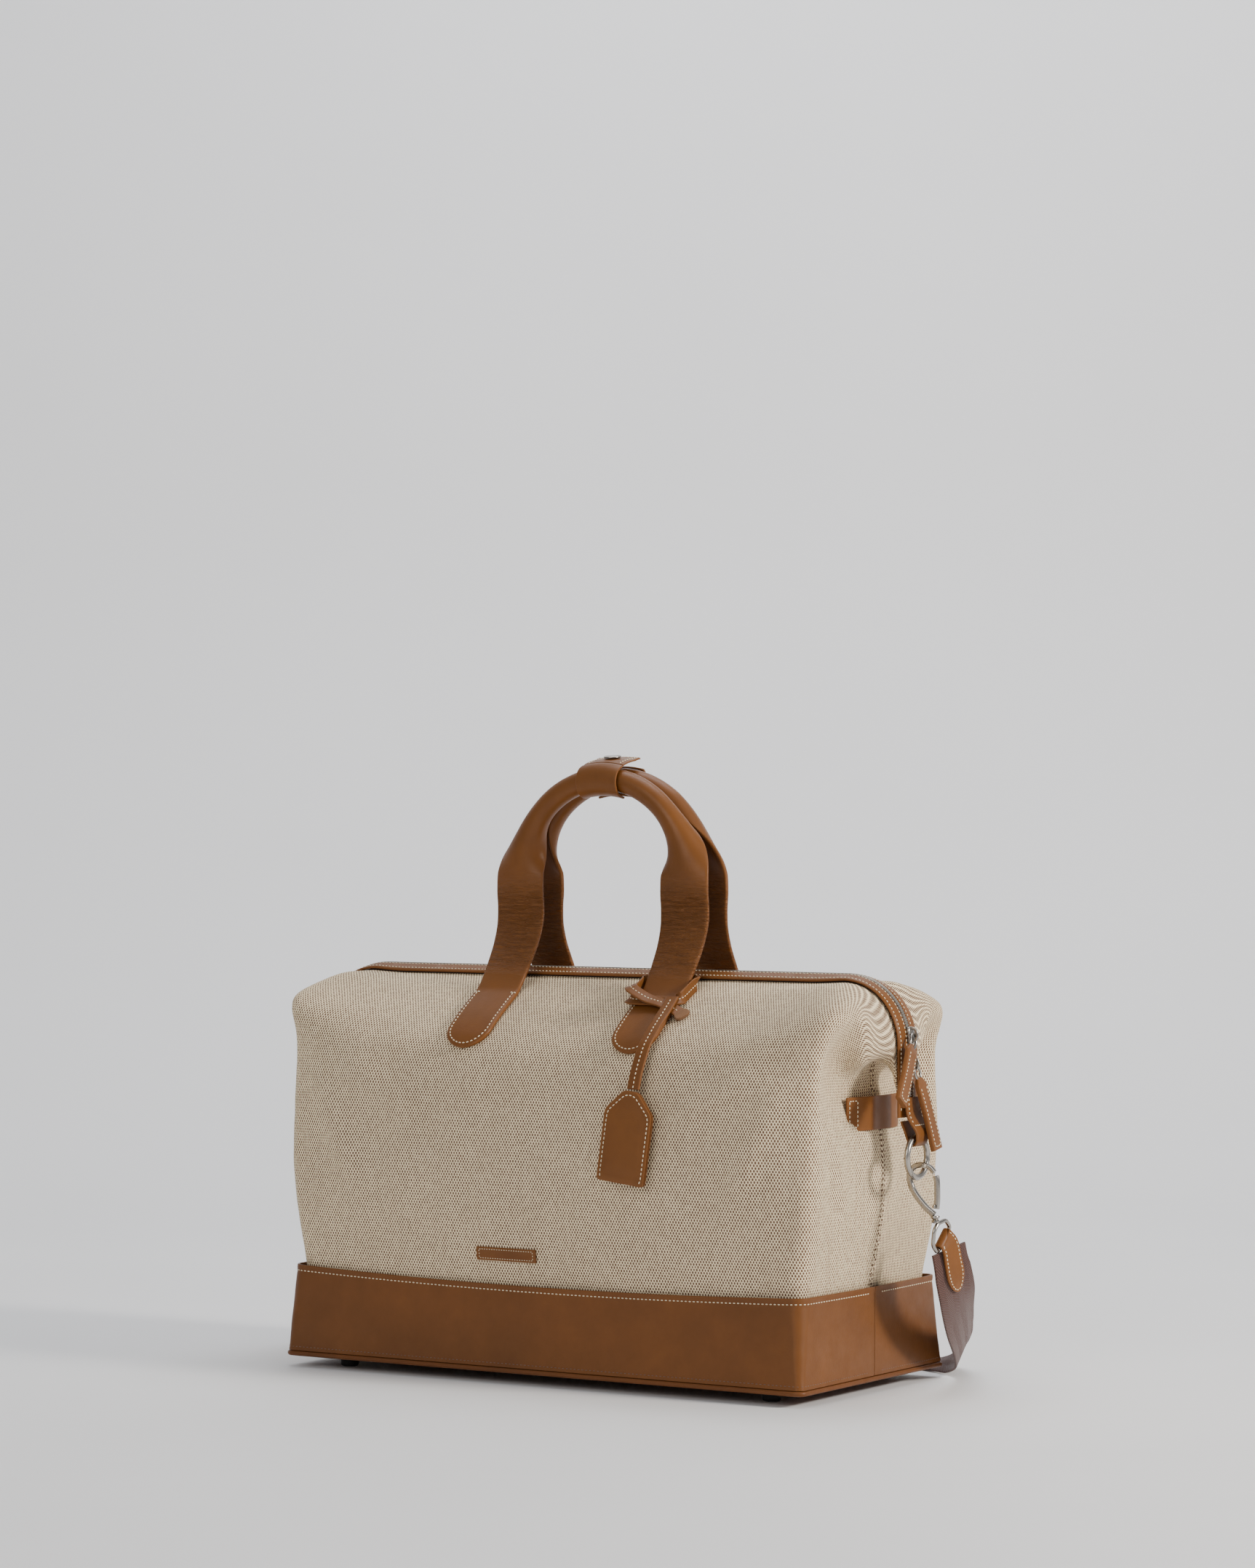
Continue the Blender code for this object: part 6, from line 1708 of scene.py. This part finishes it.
def build_plate():
    cx, z0, z1 = -0.031, 0.0990, 0.1100
    P = []
    for i in range(21):
        x = cx + lerp(-0.0290, 0.0290, i / 20)
        row = []
        for k in range(7):
            z = lerp(z0, z1, k / 6)
            best = min((abs(cloth(min(abs(x) / 0.08, 1.0), 0.8 + 1.6 * b / 80)[2] - z), cloth(min(abs(x) / 0.08, 1.0), 0.8 + 1.6 * b / 80)[1]) for b in range(0, 81, 2))
            row.append((x, best[1] - 0.0018, z))
        P.append(row)
    v, f = shell(P, 0.0013)
    e = [0.8 if i in (0, 20) or k in (0, 6) else 0.0 for i in range(21) for k in range(7)]
    piece("blank_leather_plate", (v, f), "trim_leather", "root", ["blank_plate"], 50, bevel=0.0004, slot="trim_leather", attrs={"edge": e + e})
    N = normals(P)
    ring = [(i, 1) for i in range(1, 20)] + [(19, k) for k in range(2, 6)] + [(i, 5) for i in range(18, 0, -1)] + [(1, k) for k in range(4, 0, -1)]
    stitches("plate_stitches", [[(*P[i][k], N[i][k].x, N[i][k].y, N[i][k].z) for i, k in ring]], "root", "thread", 0.0024, 0.0017, 0.00028, 0.0)


build_plate()

# design nodes that show as they are, each with its own finish
for node, mat in (("lining", "lining"), ("base_board", "board"), ("handle_core_front", "core"), ("handle_core_back", "core"), ("tag_card", "card")):
    ob = frame["nodes"][node]
    ob.data.materials.clear()
    ob.data.materials.append(MATS[mat])


# ---------------------------------------------------------------- camera, floor and light
def stage_scene():
    cam = bpy.data.cameras.new("camera")
    cam.sensor_fit, cam.sensor_width = "HORIZONTAL", 36.0
    cam.lens = 6305.0 / 1725.0 * 36.0
    cam.clip_start, cam.clip_end = 0.1, 60.0
    co = bpy.data.objects.new("camera", cam)
    co.location = (2.05003, -3.20197 + YS, 0.487)
    co.rotation_euler = (math.radians(90), 0, math.radians(32.43))
    bpy.context.scene.collection.objects.link(co)
    bpy.context.scene.camera = co
    A = math.radians(32.43)
    right = Vector((math.cos(A), math.sin(A), 0))
    fwd = Vector((-math.sin(A), math.cos(A), 0))
    # floor that curves up into a wall
    V, F = [], []
    prof = [(-6.0, 0.0), (-2.0, 0.0), (0.6, 0.0), (1.3, 0.0)]
    for k in range(1, 17):
        a = math.pi / 2 * k / 16
        prof.append((1.3 + 0.9 * math.sin(a), 0.9 * (1 - math.cos(a))))
    prof += [(2.2, 2.0), (2.2, 4.5)]
    for d, z in prof:
        for s in (-6.0, 6.0):
            V.append(tuple(right * s + fwd * d + Vector((0, 0, z))))
    for k in range(len(prof) - 1):
        F.append((2 * k, 2 * k + 1, 2 * k + 3, 2 * k + 2))
    me = bpy.data.meshes.new("floor")
    me.from_pydata(V, [], F)
    me.shade_smooth()
    ob = bpy.data.objects.new("floor", me)
    bpy.context.scene.collection.objects.link(ob)
    g = Nodes("floor_paint")
    n = g.noise(g.coord(), 3.0, 3.0, 0.5)
    g.finish(g.ramp(n, [(0.3, (0.80, 0.79, 0.78)), (0.7, (0.82, 0.81, 0.80))]), 0.7, None, Specular_IOR_Level=0.25)
    # seen from behind the sweep is clear, so the bag can be looked at from every side
    nt = MATS["floor_paint"].node_tree
    end = next(x for x in nt.nodes if x.type == "OUTPUT_MATERIAL")
    face = nt.nodes.new("ShaderNodeNewGeometry").outputs["Backfacing"]
    clear = nt.nodes.new("ShaderNodeBsdfTransparent")
    both = nt.nodes.new("ShaderNodeMixShader")
    front = end.inputs["Surface"].links[0].from_socket
    nt.links.new(face, both.inputs[0])
    nt.links.new(front, both.inputs[1])
    nt.links.new(clear.outputs[0], both.inputs[2])
    nt.links.new(both.outputs[0], end.inputs["Surface"])
    me.materials.append(MATS["floor_paint"])
    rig.stage(ob)

    def area(name, pos, target, size, power, color):
        l = bpy.data.lights.new(name, "AREA")
        l.shape, l.size, l.energy, l.color = "DISK", size, power, color
        o = bpy.data.objects.new(name, l)
        o.location = pos
        o.rotation_euler = (Vector(target) - Vector(pos)).to_track_quat("-Z", "Y").to_euler()
        bpy.context.scene.collection.objects.link(o)
        return o
    mid = Vector((0, 0, 0.2))
    area("key", mid + right * 2.5 - fwd * 1.35 + Vector((0, 0, 1.25)), mid, 0.55, 92.0, (1.0, 0.955, 0.90))
    area("fill", mid - right * 1.6 - fwd * 2.8 + Vector((0, 0, 1.5)), mid, 1.8, 30.0, (1.0, 0.98, 0.95))
    area("top", mid + Vector((0, 0, 2.6)) + fwd * 0.3, mid, 1.8, 20.0, (0.97, 0.98, 1.0))
    area("wall", mid + fwd * 0.9 + Vector((0, 0, 2.4)) + right * 0.3, mid + fwd * 2.3 + Vector((0, 0, 0.6)), 1.6, 34.0, (0.86, 0.91, 1.0))
    w = bpy.data.worlds.new("world")
    w.use_nodes = True
    w.node_tree.nodes["Background"].inputs["Color"].default_value = (0.86, 0.90, 0.97, 1)
    w.node_tree.nodes["Background"].inputs["Strength"].default_value = 0.42
    bpy.context.scene.world = w


stage_scene()

with open("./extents.json", "w") as out:
    json.dump({"cad": CAD_BOX, "visual": [list(map(float, c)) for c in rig.bounds()]}, out)
